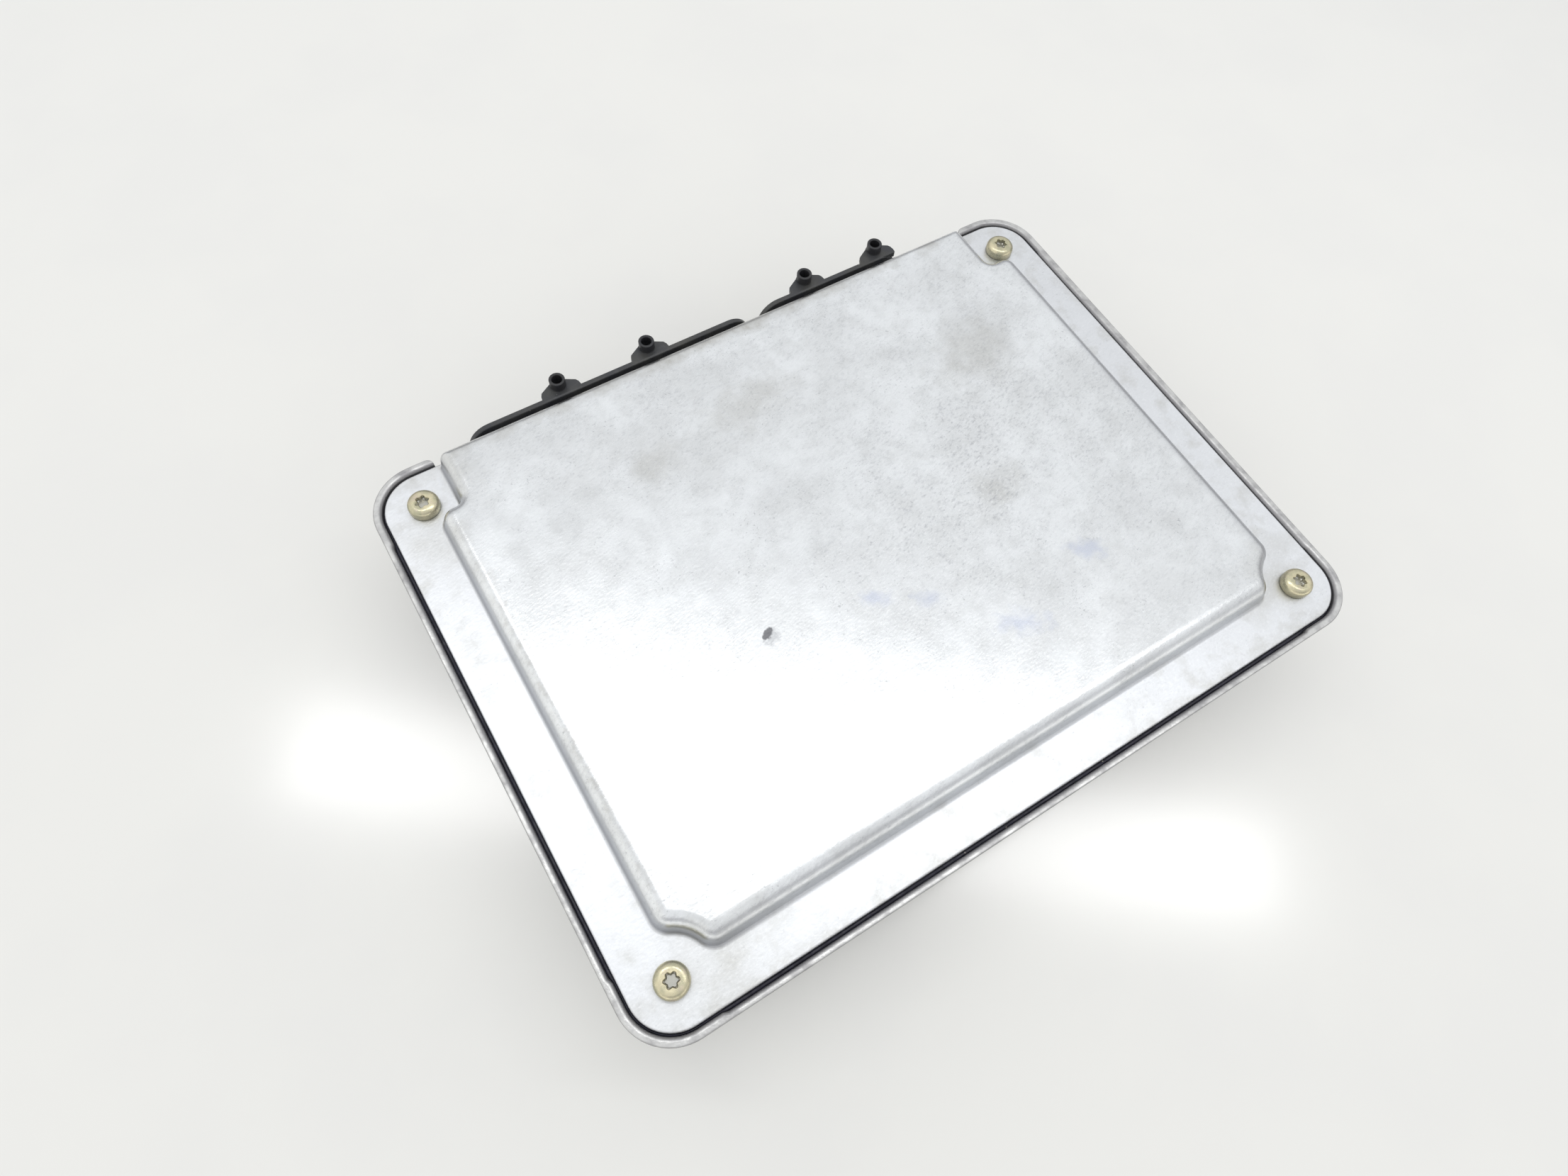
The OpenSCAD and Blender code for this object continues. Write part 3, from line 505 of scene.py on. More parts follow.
# Cover: aluminium sheet pressed into a shallow tray, so that a raised field stands above a flat flange.
# The field's walls are drafted and filleted, and its far side rolls down over the plug header. The mill
# finish is pale and a little cloudy, with fine rolling flecks, handling scratches and a few dirty marks.
field_h = cover_high.z - flange_z
draft_a = 10
draft = math.radians(draft_a)
foot_r = 0.8
top_r = 3.2
far_roll_r = 2.6
edge_roll = 0.4
edge_break = 0.1
field_near_y = near_y + 0.9
near_lean = 0.18
field_left = (side_x - 0.15, left_notch_w + 0.35)
field_right = (side_x, right_notch_w)


def field_section(shift, low_r, high_r):
    """The field's wall as (inset, height) from its foot to its top edge."""
    s, c = math.sin(draft), math.cos(draft)
    foot_x = shift - low_r * (1 - s) / c
    top_x = shift + ((field_h - high_r) * s + high_r) / c
    foot = arc(foot_x, low_r, low_r, -90, -draft_a, 8)
    top = arc(top_x, field_h - high_r, high_r, 180 - draft_a, 90, 14)
    wall = [tuple(Vector(foot[-1]).lerp(Vector(top[0]), i / 6)) for i in range(1, 6)]
    return foot + wall + top


def far_roll(z, radius):
    """How far the rolled far side has moved in at a height."""
    rise = z - field_h + radius
    return radius - math.sqrt(max(0, radius**2 - rise**2)) if rise > 0 else 0


def field_solid(bm, z0, shift, low_r, high_r, roll_r, far_in, drop):
    """The field as a solid that stands on z0 and reaches below it by drop."""
    rings = []
    for d, z in field_section(shift, low_r, high_r):
        far = far_in + far_roll(z, roll_r)
        rings.append((cavity(d, far, field_near_y + near_lean * d, field_left, field_right), z0 + z))
    stack(bm, [(rings[0][0], z0 - drop)] + rings)


def rounded(x0, y0, x1, y1, radius, steps=14):
    """Rectangle with rounded corners, anticlockwise."""
    return (
        arc(x1 - radius, y0 + radius, radius, -90, 0, steps)
        + arc(x1 - radius, y1 - radius, radius, 0, 90, steps)
        + arc(x0 + radius, y1 - radius, radius, 90, 180, steps)
        + arc(x0 + radius, y0 + radius, radius, 180, 270, steps)
    )


sheet_plan = rounded(-cover_hw, -cover_hd, cover_hw, cover_hd, cover_r)
sheet_rings = [(inset_loop(sheet_plan, edge_break), ledge_z), (sheet_plan, ledge_z + edge_break)]
for d, z in arc(edge_roll, flange_z - edge_roll, edge_roll, 180, 90, 5):
    sheet_rings.append((inset_loop(sheet_plan, d), z))
sheet_bm = bmesh.new()
stack(sheet_bm, sheet_rings)
cover = make_piece("cover_sheet", sheet_bm)

raised = bmesh.new()
field_solid(raised, flange_z, 0, foot_r, top_r, far_roll_r, far_gap, sheet_t / 2)
combine(cover, raised, "UNION")
hollow = bmesh.new()
inner_shift = sheet_t * (1 - math.sin(draft)) / math.cos(draft)
inner_radii = (foot_r + sheet_t, top_r - sheet_t, far_roll_r - sheet_t)
field_solid(hollow, ledge_z, inner_shift, *inner_radii, sheet_t, 1)
combine(cover, hollow, "DIFFERENCE")
gate_and_holes = bmesh.new()
skirt_z = flange_z + 1
gate_gap = 0.3
clear_r = 2.3
block(
    gate_and_holes,
    (-gate_x - gate_gap, far_y - wall_t - 1, ledge_z - 1),
    (gate_x + gate_gap, far_y + 1, skirt_z),
)
for x, y in screw_places:
    stack(gate_and_holes, [(disc(x, y, clear_r), ledge_z - 1), (disc(x, y, clear_r), flange_z + 1)])
combine(cover, gate_and_holes, "DIFFERENCE")
shade(cover)

sheet, tree, shader, place = new_material("cover_sheet", Metallic=1.0)
clean = (0.83, 0.85, 0.865, 1)
cloudy = (0.73, 0.745, 0.755, 1)
hazy = (0.61, 0.62, 0.62, 1)
bluish = (0.735, 0.75, 0.775, 1)
stained = (0.56, 0.56, 0.54, 1)
scuffed = (0.36, 0.37, 0.39, 1)
crusted = (0.42, 0.405, 0.375, 1)
# dull is the colour of the painted shade on the field's walls and right edge
dull = (0.45, 0.46, 0.49, 1)
greasy = (0.12, 0.12, 0.13, 1)
inky = (0.56, 0.6, 0.72, 1)
glinting = (0.93, 0.945, 0.96, 1)


def reckon(tree, operation, *values):
    """One step of arithmetic on values or sockets."""
    return put(tree, "ShaderNodeMath", dict(enumerate(values)), operation=operation).outputs[0]


def around(tree, place, centre, size, turn=0.0, ragged=2.0, ragged_size=6.0, soft=0.9):
    """1 inside a ragged oval on the cover, 0 outside."""
    local = put(
        tree,
        "ShaderNodeMapping",
        {"Vector": place, "Location": (*centre, 0), "Rotation": (0, 0, turn), "Scale": (*size, 1e6)},
        vector_type="TEXTURE",
    )
    length = put(tree, "ShaderNodeVectorMath", {0: local.outputs[0]}, operation="LENGTH").outputs["Value"]
    noise = put(tree, "ShaderNodeTexNoise", {"Vector": place, "Scale": 1 / ragged_size, "Detail": 3})
    edge = reckon(tree, "MULTIPLY_ADD", noise.outputs[0], ragged, length)
    end = 1.1 + ragged / 2
    return ramp(tree, edge, end - soft, end, 1, 0)


across, along, height = put(tree, "ShaderNodeSeparateXYZ", {0: place}).outputs
on_flange = ramp(tree, height, flange_z + 0.2, flange_z + 1.2, 1, 0)
tone = mix(tree, clouds(tree, place, 16.0, 0.4, 0.62), clean, cloudy)
tone = tint(tree, tone, clouds(tree, place, 4.5, 0.45, 0.75), 0.45, hazy)
tone = tint(tree, tone, on_flange, 0.8, bluish)
smudge = times(tree, on_flange, clouds(tree, place, 5.0, 0.5, 0.72))
tone = tint(tree, tone, smudge, 0.6, stained)
near_edge = ramp(tree, along, 3.2 - cover_hd, 0.4 - cover_hd)
near_edge = times(tree, near_edge, clouds(tree, place, 2.2, 0.3, 0.7))
tone = tint(tree, tone, near_edge, 0.8, stained)

# Stains, one of them partly painted shade: centre, half sizes and turn of each
stains = [
    ((49, 29), (13, 10), 0.4),
    ((-31, 38), (7, 5), 0.2),
    ((31, -4), (8, 6), 0.3),
    ((-5, 42), (16, 6), 0.1),
    # Far-left notch: painted shade on the notch wall, and dirt on the field's corner
    ((-69, 58), (4, 9), 0.1),
    ((-70, -56), (16, 9), 0.3),
    ((-80, 46), (7, 9), 0.2),
    ((74, -52), (12, 9), 0.5),
]
for centre, size, turn in stains:
    tone = tint(tree, tone, around(tree, place, centre, size, turn), 0.55, stained)

# Flecks and glints run along the rolling direction, and show most where the field has been rubbed
turned = put(
    tree,
    "ShaderNodeMapping",
    {"Vector": place, "Rotation": (0, 0, math.radians(17)), "Scale": (2.0, 1, 1)},
    vector_type="TEXTURE",
).outputs[0]
flecks = clouds(tree, turned, 0.55, 0.5, 0.74)
glints = clouds(tree, turned, 0.43, 0.52, 0.72)
rubbing = mix(tree, around(tree, place, (26, -2), (46, 30), 0.3, 1.0, 14.0), 0.45, 1.0)
scuffs = times(tree, times(tree, flecks, rubbing), clouds(tree, place, 16.0, 0.25, 0.55))
scuffs = times(tree, scuffs, mix(tree, on_flange, 1.0, 0.25))
tone = tint(tree, tone, scuffs, 0.75, scuffed)
tone = tint(tree, tone, times(tree, glints, rubbing), 0.5, glinting)
pits = times(tree, clouds(tree, place, 0.55, 0.6, 0.72), clouds(tree, place, 9.0, 0.4, 0.58))
pits = times(tree, pits, mix(tree, on_flange, 0.5, 0.3))
tone = mix(tree, pits, tone, scuffed)

# A band of painted shade and dirt along the far edge, dirt specks by the left edge, painted shade on the
# walls and the right edge; the walls are rougher than the top
# Painted shade with some dirt: a soft grey band over the far roll, with crust in it
far_shade_and_dirt = around(tree, place, (-8, far_y - 1.2), (85, 3.4), 0, 1.6, 5.0)
left_dirt = around(tree, place, (3.2 - side_x, 2), (1.6, 54), 0, 2.0, 3.0)
crust = clouds(tree, place, 1.6, 0.38, 0.66)
tone = tint(tree, tone, far_shade_and_dirt, 0.75, stained)
tone = tint(tree, tone, times(tree, far_shade_and_dirt, crust), 0.5, crusted)
tone = tint(tree, tone, times(tree, left_dirt, crust), 0.4, crusted)
# Painted shade on the field's walls, strongest on the left ones
wall_foot = ramp(tree, height, flange_z, flange_z + 0.2)
wall = times(tree, wall_foot, ramp(tree, height, flange_z + 4.6, flange_z + 2))
tone = tint(tree, tone, wall, ramp(tree, across, 6 - side_x, 25 - side_x, 0.8, 0.25), dull)
# Painted shade on the upper part of the field's right edge
right_edge_shade = ramp(tree, across, side_x - 4.4, side_x - 1.4)
right_edge_shade = times(tree, right_edge_shade, ramp(tree, height, flange_z + 1, flange_z + 2))
tone = tint(tree, tone, right_edge_shade, 0.5, dull)

# Bluish marks, and a spot of grease with a dirty edge
ink_marks = [((-6.5, -13), (4.5, 2)), ((2.5, -18.5), (3.5, 2)), ((17, -33), (6, 3)), ((40, -26), (5, 2.5))]
for centre, size in ink_marks:
    tone = tint(tree, tone, around(tree, place, centre, size, -0.5, 2.0, 2.5), 0.6, inky)
spot_edge = around(tree, place, (-30.2, -9.4), (2.4, 1.6), 0.6, 1.6, 1.0, 0.6)
spot = around(tree, place, (-30.6, -8.5), (1.5, 0.9), 0.6, 1.6, 0.9, 0.35)
tone = tint(tree, tone, spot_edge, 0.5, scuffed)
tone = tint(tree, tone, spot, 0.85, greasy)
rough = mix(tree, clouds(tree, place, 15.0, 0.4, 0.65), 0.23, 0.29)
rough = mix(tree, on_flange, rough, 0.42)
rough = mix(tree, wall, rough, 0.5)
paint(tree, shader, tone, mix(tree, scuffs, rough, 0.45))
grain(tree, shader, turned, 0.5, 0.028)
finish_piece(cover, sheet, "cover_sheet", "cover")


# Sealant: a soft black bead laid in the trough between the cover and the rim before the cover went on.
# It is uneven along its length and ends at the two hooks. The same stuff seals the plug header's plate.

# Scattered specks: round dots of that size, thinned out at random
speck_group, given, result = new_group("Specks", ("Pitch", "Radius", "Keep"))
divided = {0: given["Vector"], 1: given["Pitch"]}
spread = put(speck_group, "ShaderNodeVectorMath", divided, operation="DIVIDE")
cells = put(speck_group, "ShaderNodeTexVoronoi", {"Vector": spread.outputs[0], "Scale": 1}).outputs
shares = put(speck_group, "ShaderNodeSeparateColor", {0: cells["Color"]}).outputs
dots = reckon(speck_group, "LESS_THAN", cells["Distance"], given["Radius"])
kept = reckon(speck_group, "LESS_THAN", shares[0], given["Keep"])
speck_group.links.new(times(speck_group, dots, kept), result)


def specks(tree, place, pitch, radius, keep):
    inputs = {"Vector": place, "Pitch": pitch, "Radius": radius, "Keep": keep}
    return put(tree, "ShaderNodeGroup", inputs, node_tree=speck_group).outputs["Mask"]


sealant, tree, shader, place = new_material("sealant")
tone = mix(tree, clouds(tree, place, 1.2), (0.006, 0.006, 0.016, 1), (0.014, 0.014, 0.03, 1))
tone = mix(tree, specks(tree, place, 1.4, 0.12, 0.16), tone, (0.24, 0.23, 0.21, 1))
across = put(tree, "ShaderNodeSeparateXYZ", {0: place}).outputs[0]
# The bead is paler along the middle of the right side
on_right = ramp(tree, across, cover_hw - 1, cover_hw)
paler_mid_right = times(tree, on_right, around(tree, place, (cover_hw, -2), (9, 30), 0, 1.0, 9.0))
tone = mix(tree, paler_mid_right, tone, (0.6, 0.59, 0.57, 1))
paint(tree, shader, tone, mix(tree, clouds(tree, place, 2.0), 0.35, 0.6))
grain(tree, shader, place, 0.7, 0.08)

bead_low, bead_high = span("cover_seal")
bead_gap = 0.03
bead_step = 1.2
wide = tub_hw - rim_t - cover_hw
narrow = wide - pad_more
closed = wide - right_more


def bead_width(along, pad_from, full):
    """Width of the trough at a place along a side that is full wide between its corner pads."""
    share = min(max((abs(along) - pad_from + pad_ramp) / pad_ramp, 0), 1)
    return full + (narrow - full) * share


def straight(start, stop):
    count = max(1, round(abs(stop - start) / bead_step))
    return [start + (stop - start) * i / count for i in range(count)]


# Stations along the cover's edge: place, outward direction and width of the trough. Each corner is given
# with the side that follows it
left_side = [((-cover_hw, y), (-1, 0), bead_width(y, end_y, wide)) for y in straight(bend_y, -bend_y)[1:]]
near_side = [((x, -cover_hd), (0, -1), bead_width(x, end_x, wide)) for x in straight(-bend_x, bend_x)[1:]]
right_side = [((cover_hw, y), (1, 0), bead_width(y, end_y, closed)) for y in straight(-bend_y, bend_y)[1:]]
bends = [
    (-bend_x, bend_y, 90, left_side),
    (-bend_x, -bend_y, 180, near_side),
    (bend_x, -bend_y, 270, right_side),
    (bend_x, bend_y, 0, []),
]
stations = [((x, cover_hd), (0, 1), narrow) for x in straight(-hook_x, -bend_x)]
for cx, cy, a, side in bends:
    for at, outward in zip(arc(cx, cy, cover_r, a, a + 90), arc(0, 0, 1, a, a + 90)):
        stations.append((at, outward, narrow))
    stations += side
stations.append(((hook_x, cover_hd), (0, 1), narrow))

bead_h = bead_high.z - bead_low.z
bead_mid = bead_low.z + bead_h / 2
path_bm = bmesh.new()
half_width = path_bm.verts.layers.float.new("half_width")
path = []
for (x, y), (dx, dy), w in stations:
    vert = path_bm.verts.new(Vector((x + dx * w / 2, y + dy * w / 2, bead_mid)) * MM)
    vert[half_width] = (w / 2 - bead_gap) * MM
    path.append(vert)
for one, other in zip(path, path[1:]):
    path_bm.edges.new((one, other))
bead = new_object("cover_bead", path_bm)


def new_nodes(name, inputs):
    """An empty Geometry Nodes tree with geometry in and out and the named inputs."""
    tree = bpy.data.node_groups.new(name, "GeometryNodeTree")
    tree.interface.new_socket("Geometry", in_out="INPUT", socket_type="NodeSocketGeometry")
    for label, kind in inputs:
        tree.interface.new_socket(label, in_out="INPUT", socket_type=kind)
    tree.interface.new_socket("Geometry", in_out="OUTPUT", socket_type="NodeSocketGeometry")
    return tree, tree.nodes.new("NodeGroupInput").outputs, tree.nodes.new("NodeGroupOutput").inputs


def run_nodes(piece, tree, **values):
    """Runs the tree on the piece with its inputs set, and keeps what it makes."""
    nodes = piece.modifiers.new(tree.name, "NODES")
    nodes.node_group = tree
    for item in tree.interface.items_tree:
        label = item.name.replace(" ", "_").lower()
        if item.in_out == "INPUT" and label in values:
            nodes[item.identifier] = values[label]
    settle(piece, nodes)


sweep, given, result = new_nodes(
    "Bead sweep",
    [
        ("Half Height", "NodeSocketFloat"),
        ("Ripple", "NodeSocketFloat"),
        ("Level", "NodeSocketFloat"),
        ("Finish", "NodeSocketMaterial"),
    ],
)
width = put(sweep, "GeometryNodeInputNamedAttribute", {"Name": "half_width"}, data_type="FLOAT").outputs[0]
curve = put(sweep, "GeometryNodeMeshToCurve", {"Mesh": given["Geometry"]})
section = put(sweep, "GeometryNodeCurvePrimitiveCircle", {"Resolution": 12, "Radius": 1.0})
swept = put(
    sweep,
    "GeometryNodeCurveToMesh",
    {"Curve": curve.outputs[0], "Profile Curve": section.outputs[0], "Scale": width, "Fill Caps": True},
)
where = put(sweep, "GeometryNodeInputPosition").outputs[0]
x, y, z = put(sweep, "ShaderNodeSeparateXYZ", {0: where}).outputs
share = reckon(sweep, "DIVIDE", reckon(sweep, "SUBTRACT", z, given["Level"]), width)
noise = put(sweep, "ShaderNodeTexNoise", {"Vector": where, "Scale": 300.0, "Detail": 2.0}).outputs[0]
drop = reckon(sweep, "MULTIPLY", ramp(sweep, noise, 0.3, 0.7), given["Ripple"])
tall = reckon(sweep, "SUBTRACT", given["Half Height"], drop)
level = reckon(sweep, "MULTIPLY_ADD", share, tall, given["Level"])
new_place = put(sweep, "ShaderNodeCombineXYZ", {0: x, 1: y, 2: level}).outputs[0]
shaped = put(sweep, "GeometryNodeSetPosition", {"Geometry": swept.outputs[0], "Position": new_place})
painted = put(sweep, "GeometryNodeSetMaterial", {"Geometry": shaped.outputs[0], "Material": given["Finish"]})
sweep.links.new(painted.outputs[0], result["Geometry"])
ripple = 0.1
run_nodes(
    bead,
    sweep,
    half_height=bead_h / 2 * MM,
    ripple=ripple * MM,
    level=bead_mid * MM,
    finish=sealant,
)
shade(bead, 60)
finish_piece(bead, sealant, "sealant", "cover_seal")


def dress(material, *names):
    """Gives CAD nodes that stay as they are a material."""
    for name in names:
        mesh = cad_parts[name].data
        mesh.materials.clear()
        mesh.materials.append(material)


dress(sealant, "header_seal")


# Cover screws: four steel pan heads with a six-lobe recess, zinc plated and yellow passivated. The plating
# drifts between yellow, olive and pink, and is worn to bare metal in the recesses.
zinc, tree, shader, place = new_material("zinc_yellow", Metallic=1.0)
yellow = (0.68, 0.62, 0.43, 1)
olive = (0.5, 0.48, 0.34, 1)
rosy = (0.62, 0.53, 0.43, 1)
tone = mix(tree, clouds(tree, place, 2.5, 0.4, 0.6), yellow, olive)
tone = tint(tree, tone, clouds(tree, place, 1.6, 0.55, 0.7), 0.7, rosy)
height = put(tree, "ShaderNodeSeparateXYZ", {0: place}).outputs[2]
screw_top = span("cover_screws")[1].z
# Painted shade: each head darkens towards its low side, next to the flange
low_side_shade = ramp(tree, height, flange_z + 0.1, flange_z + 1.7, 0.7, 0)
tone = mix(tree, low_side_shade, tone, (0.2, 0.185, 0.13, 1))

# Bare metal deep in the recess: all four screws fold into one corner, which gives the distance to the axis
folded = put(tree, "ShaderNodeVectorMath", {0: place}, operation="ABSOLUTE").outputs[0]
from_axis = put(
    tree,
    "ShaderNodeVectorMath",
    {0: folded, 1: (1, 1, 0), 2: (-screw_x, -screw_y, 0)},
    operation="MULTIPLY_ADD",
).outputs[0]
radial = put(tree, "ShaderNodeVectorMath", {0: from_axis}, operation="LENGTH").outputs["Value"]
deep = ramp(tree, height, screw_top - 0.9, screw_top - 0.2, 1, 0)
bare = times(tree, times(tree, deep, ramp(tree, radial, 1.6, 1.75, 1, 0)), 0.8)
rough = mix(tree, clouds(tree, place, 1.0, 0.4, 0.7), 0.24, 0.42)
paint(tree, shader, mix(tree, bare, tone, (0.46, 0.46, 0.44, 1)), mix(tree, bare, rough, 0.3))
grain(tree, shader, place, 0.25, 0.012)

head_r = 3.4
head_h = screw_top - flange_z
head_round = head_h * 0.55
head_break = 0.2
shank_r = 2.0
recess_mid = 1.34
recess_wave = 0.2
recess_break = 0.12
recess_floor = head_h - 1.3
screw_low = span("cover_screws")[0].z - flange_z


def ring(radius, wave=0.0):
    """A circle, or a six-lobe line whose radius waves by that much."""
    steps = 72
    turns = [2 * math.pi * i / steps for i in range(steps)]
    radii = [radius + wave * math.cos(6 * a) for a in turns]
    return [(r * math.cos(a), r * math.sin(a)) for r, a in zip(radii, turns)]


head_rings = [(ring(shank_r - 0.3), screw_low), (ring(shank_r), screw_low + 0.4), (ring(shank_r), 0)]
head_rings += [(ring(head_r - head_break), 0), (ring(head_r), head_break)]
for r, z in arc(head_r - head_round, head_h - head_round, head_round, 0, 90, 10):
    head_rings.append((ring(r), z))
head_rings += [
    (ring(1.8), head_h),
    (ring(recess_mid + recess_break, recess_wave), head_h),
    (ring(recess_mid, recess_wave), head_h - recess_break),
    (ring(recess_mid - 0.05, recess_wave), recess_floor + 0.2),
    (ring(recess_mid - 0.3, recess_wave * 0.7), recess_floor),
]
screw_bm = bmesh.new()
stack(screw_bm, head_rings)
screw_source = make_piece("screw_source", screw_bm)
shade(screw_source, 32)

copies, given, result = new_nodes(
    "Copies on points",
    [("Part", "NodeSocketObject"), ("Finish", "NodeSocketMaterial")],
)
part = put(copies, "GeometryNodeObjectInfo", {"Object": given["Part"]})
turns = put(copies, "GeometryNodeInputNamedAttribute", {"Name": "turn"}, data_type="FLOAT_VECTOR")
rotation = put(copies, "FunctionNodeEulerToRotation", {0: turns.outputs[0]})
placed = put(
    copies,
    "GeometryNodeInstanceOnPoints",
    {
        "Points": given["Geometry"],
        "Instance": part.outputs["Geometry"],
        "Rotation": rotation.outputs[0],
    },
)
real = put(copies, "GeometryNodeRealizeInstances", {0: placed.outputs[0]})
painted = put(copies, "GeometryNodeSetMaterial", {"Geometry": real.outputs[0], "Material": given["Finish"]})
copies.links.new(painted.outputs[0], result["Geometry"])


def scatter(name, places, source, finish):
    """Puts the source on places given as (x, y, z, turn), turn being a rotation in radians."""
    points = bmesh.new()
    turn_layer = points.verts.layers.float_vector.new("turn")
    for x, y, z, turn in places:
        points.verts.new(Vector((x, y, z)) * MM)[turn_layer] = turn
    piece = new_object(name, points)
    run_nodes(piece, copies, part=source, finish=finish)
    bpy.data.objects.remove(source)
    return piece


screw_turns = [0.35, 1.1, 0.7, 0.15]
screws = scatter(
    "cover_screw_heads",
    [(x, y, flange_z, (0, 0, turn)) for (x, y), turn in zip(screw_places, screw_turns)],
    screw_source,
    zinc,
)
finish_piece(screws, zinc, "zinc_yellow", "cover_screws")


# Plug header: one black glass-filled moulding with a large and a small socket, each with a lip round its
# mouth. A plate behind the tub's wall carries both. Tabs with hollow studs on the lips lock the two plugs.
header_low, header_high = span("header_body")
mouth_y = cover_hd + 3.0
header_back = header_low.y + 7
lip_t = 1.3
lip_out = 2.0
lip_r = 5.5
lip_round = 0.35
lip_back = mouth_y - lip_t
shroud_in = 4.0
mouth_round = 0.4
socket_floor = mouth_y - 17.9
stud_h = 2.3
lip_top = header_high.z - stud_h
lip_low = header_low.z + stud_h
plate_margin = 0.8
large_len = 72.7
small_len = 41.0
large_left = seal_low.x + plate_margin
small_right = seal_high.x - plate_margin
large_x = (large_left, large_left + large_len)
small_x = (small_right - small_len, small_right)

plastic, tree, shader, place = new_material("black_plastic")
dark = (0.036, 0.038, 0.044, 1)
faded = (0.05, 0.05, 0.047, 1)
dusty = (0.3, 0.295, 0.28, 1)
handled = (0.014, 0.014, 0.017, 1)
# The last colour is painted shade for the groove behind the lips
groove_shade = (0.006, 0.006, 0.014, 1)
along, height = put(tree, "ShaderNodeSeparateXYZ", {0: place}).outputs[1:]
tone = mix(tree, clouds(tree, place, 6.0, 0.4, 0.65), dark, faded)
tone = tint(tree, tone, clouds(tree, place, 2.5, 0.5, 0.8), 0.1, dusty)
tone = tint(tree, tone, specks(tree, place, 1.8, 0.08, 0.12), 0.7, dusty)
tone = tint(tree, tone, ramp(tree, height, lip_top + 0.1, lip_top + 0.5), 0.7, handled)
# Painted shade: the groove behind the lips, below their top, is darkened almost to black
behind = ramp(tree, along, lip_back - 0.1, lip_back, 1, 0)
shaded_groove = times(tree, behind, reckon(tree, "LESS_THAN", height, lip_top - 0.4))
rough = mix(tree, clouds(tree, place, 4.0), 0.38, 0.55)
paint(tree, shader, mix(tree, shaded_groove, tone, groove_shade), rough)
grain(tree, shader, place, 0.35, 0.03)


def upright(x, z, y):
    return x, y, z


def mouth_plan(x0, x1, inset):
    """The line round a socket's lip, moved in by inset."""
    radius = max(lip_r - inset, 1.2)
    return rounded(x0 + inset, lip_low + inset, x1 - inset, lip_top - inset, radius, 10)


# From the back, along the shroud, over the lip and down into the socket: inset from the lip, and y
mouth_profile = [
    (lip_out + 0.3, header_back),
    (lip_out, header_back + 0.3),
    (lip_out, lip_back - 0.4),
    (lip_out - 0.12, lip_back - 0.1),
    (lip_out - 0.4, lip_back),
]
mouth_profile += arc(lip_round, lip_back + lip_round, lip_round, 270, 180, 4)
mouth_profile += arc(lip_round, mouth_y - lip_round, lip_round, 180, 90, 4)
mouth_profile += arc(shroud_in - mouth_round, mouth_y - mouth_round, mouth_round, 90, 0, 4)
mouth_profile += [(shroud_in, socket_floor + 0.3), (shroud_in + 0.3, socket_floor)]
header_bm = bmesh.new()
for x0, x1 in (large_x, small_x):
    stack(header_bm, [(mouth_plan(x0, x1, d), y) for d, y in mouth_profile], upright)

# The plate, with a passage for each shroud, and the two lugs that screw to the board
plate_t = 2.4
plate_back = seal_low.y - plate_t
plate_front = seal_low.y - 0.02
plate = rounded(seal_low.x, seal_low.z, seal_high.x, seal_high.z, 1.0, 4)
plate_rings = [(inset_loop(plate, 0.3), plate_back), (plate, plate_back + 0.3), (plate, plate_front)]
plate_loops = [loop(header_bm, points, y, upright) for points, y in plate_rings]
skin(header_bm, plate_loops)
passage_in = (lip_out + shroud_in) / 2
passages = []
for x0, x1 in (large_x, small_x):
    passage = mouth_plan(x0, x1, passage_in)
    passages.append([loop(header_bm, passage, y, upright) for y in (plate_back, plate_front)])
    skin(header_bm, passages[-1])
fill(header_bm, plate_loops[0], *[ends[0] for ends in passages])
fill(header_bm, plate_loops[-1], *[ends[1] for ends in passages])
lug_w = 4.5
lug_t = 5
lug_front = header_back + 1.6
lug_top = board_low.z
for x0 in (large_x[0] + lip_out, small_x[1] - lip_out - lug_w):
    block(header_bm, (x0, header_low.y, lug_top - lug_t), (x0 + lug_w, lug_front, lug_top - 0.01))
header = make_piece("header_moulding", header_bm)
shade(header)
finish_piece(header, plastic, "black_plastic", "header_body")

# One tab with its hollow stud, the stud's axis upright through the origin
tab_t = 1.6
stud_out = 1.9
stud_r = 1.85
bore_r = 1.2
nose_r = 2.05
nose_from = 39.6
tab_side = [(4.5, 0.15 - lip_t - stud_out), (4.8, -2.7), (4.85, -1.95), (4.7, -1.0), (4.3, -0.25)]
tab_nose = arc(0, 0, nose_r, nose_from, 180 - nose_from, 16)
tab_plan = tab_side + tab_nose + [(-x, y) for x, y in reversed(tab_side)]
tab_rise = 0.03
tab_rings = [(inset_loop(tab_plan, 0.2), -tab_t), (tab_plan, 0.2 - tab_t)]
for d, z in arc(0.3, tab_rise - 0.3, 0.3, 180, 90, 4):
    tab_rings.append((inset_loop(tab_plan, d), z))
stud_rings = [(disc(0, 0, stud_r), -tab_t / 2)]
for r, z in arc(stud_r - 0.2, stud_h - 0.2, 0.2, 0, 90, 4):
    stud_rings.append((disc(0, 0, r), z))
bore_rings = [(disc(0, 0, bore_r), 0.4 - tab_t), (disc(0, 0, bore_r), stud_h - 0.15)]
bore_rings += [(disc(0, 0, bore_r + 0.15), stud_h), (disc(0, 0, bore_r + 0.15), stud_h + 1)]
tab_bm = bmesh.new()
stud_bm = bmesh.new()
bore_bm = bmesh.new()
stack(tab_bm, tab_rings)
stack(stud_bm, stud_rings)
stack(bore_bm, bore_rings)
tab_source = make_piece("tab_source", tab_bm)
combine(tab_source, stud_bm, "UNION")
combine(tab_source, bore_bm, "DIFFERENCE")
shade(tab_source, 32)
tab_places = []
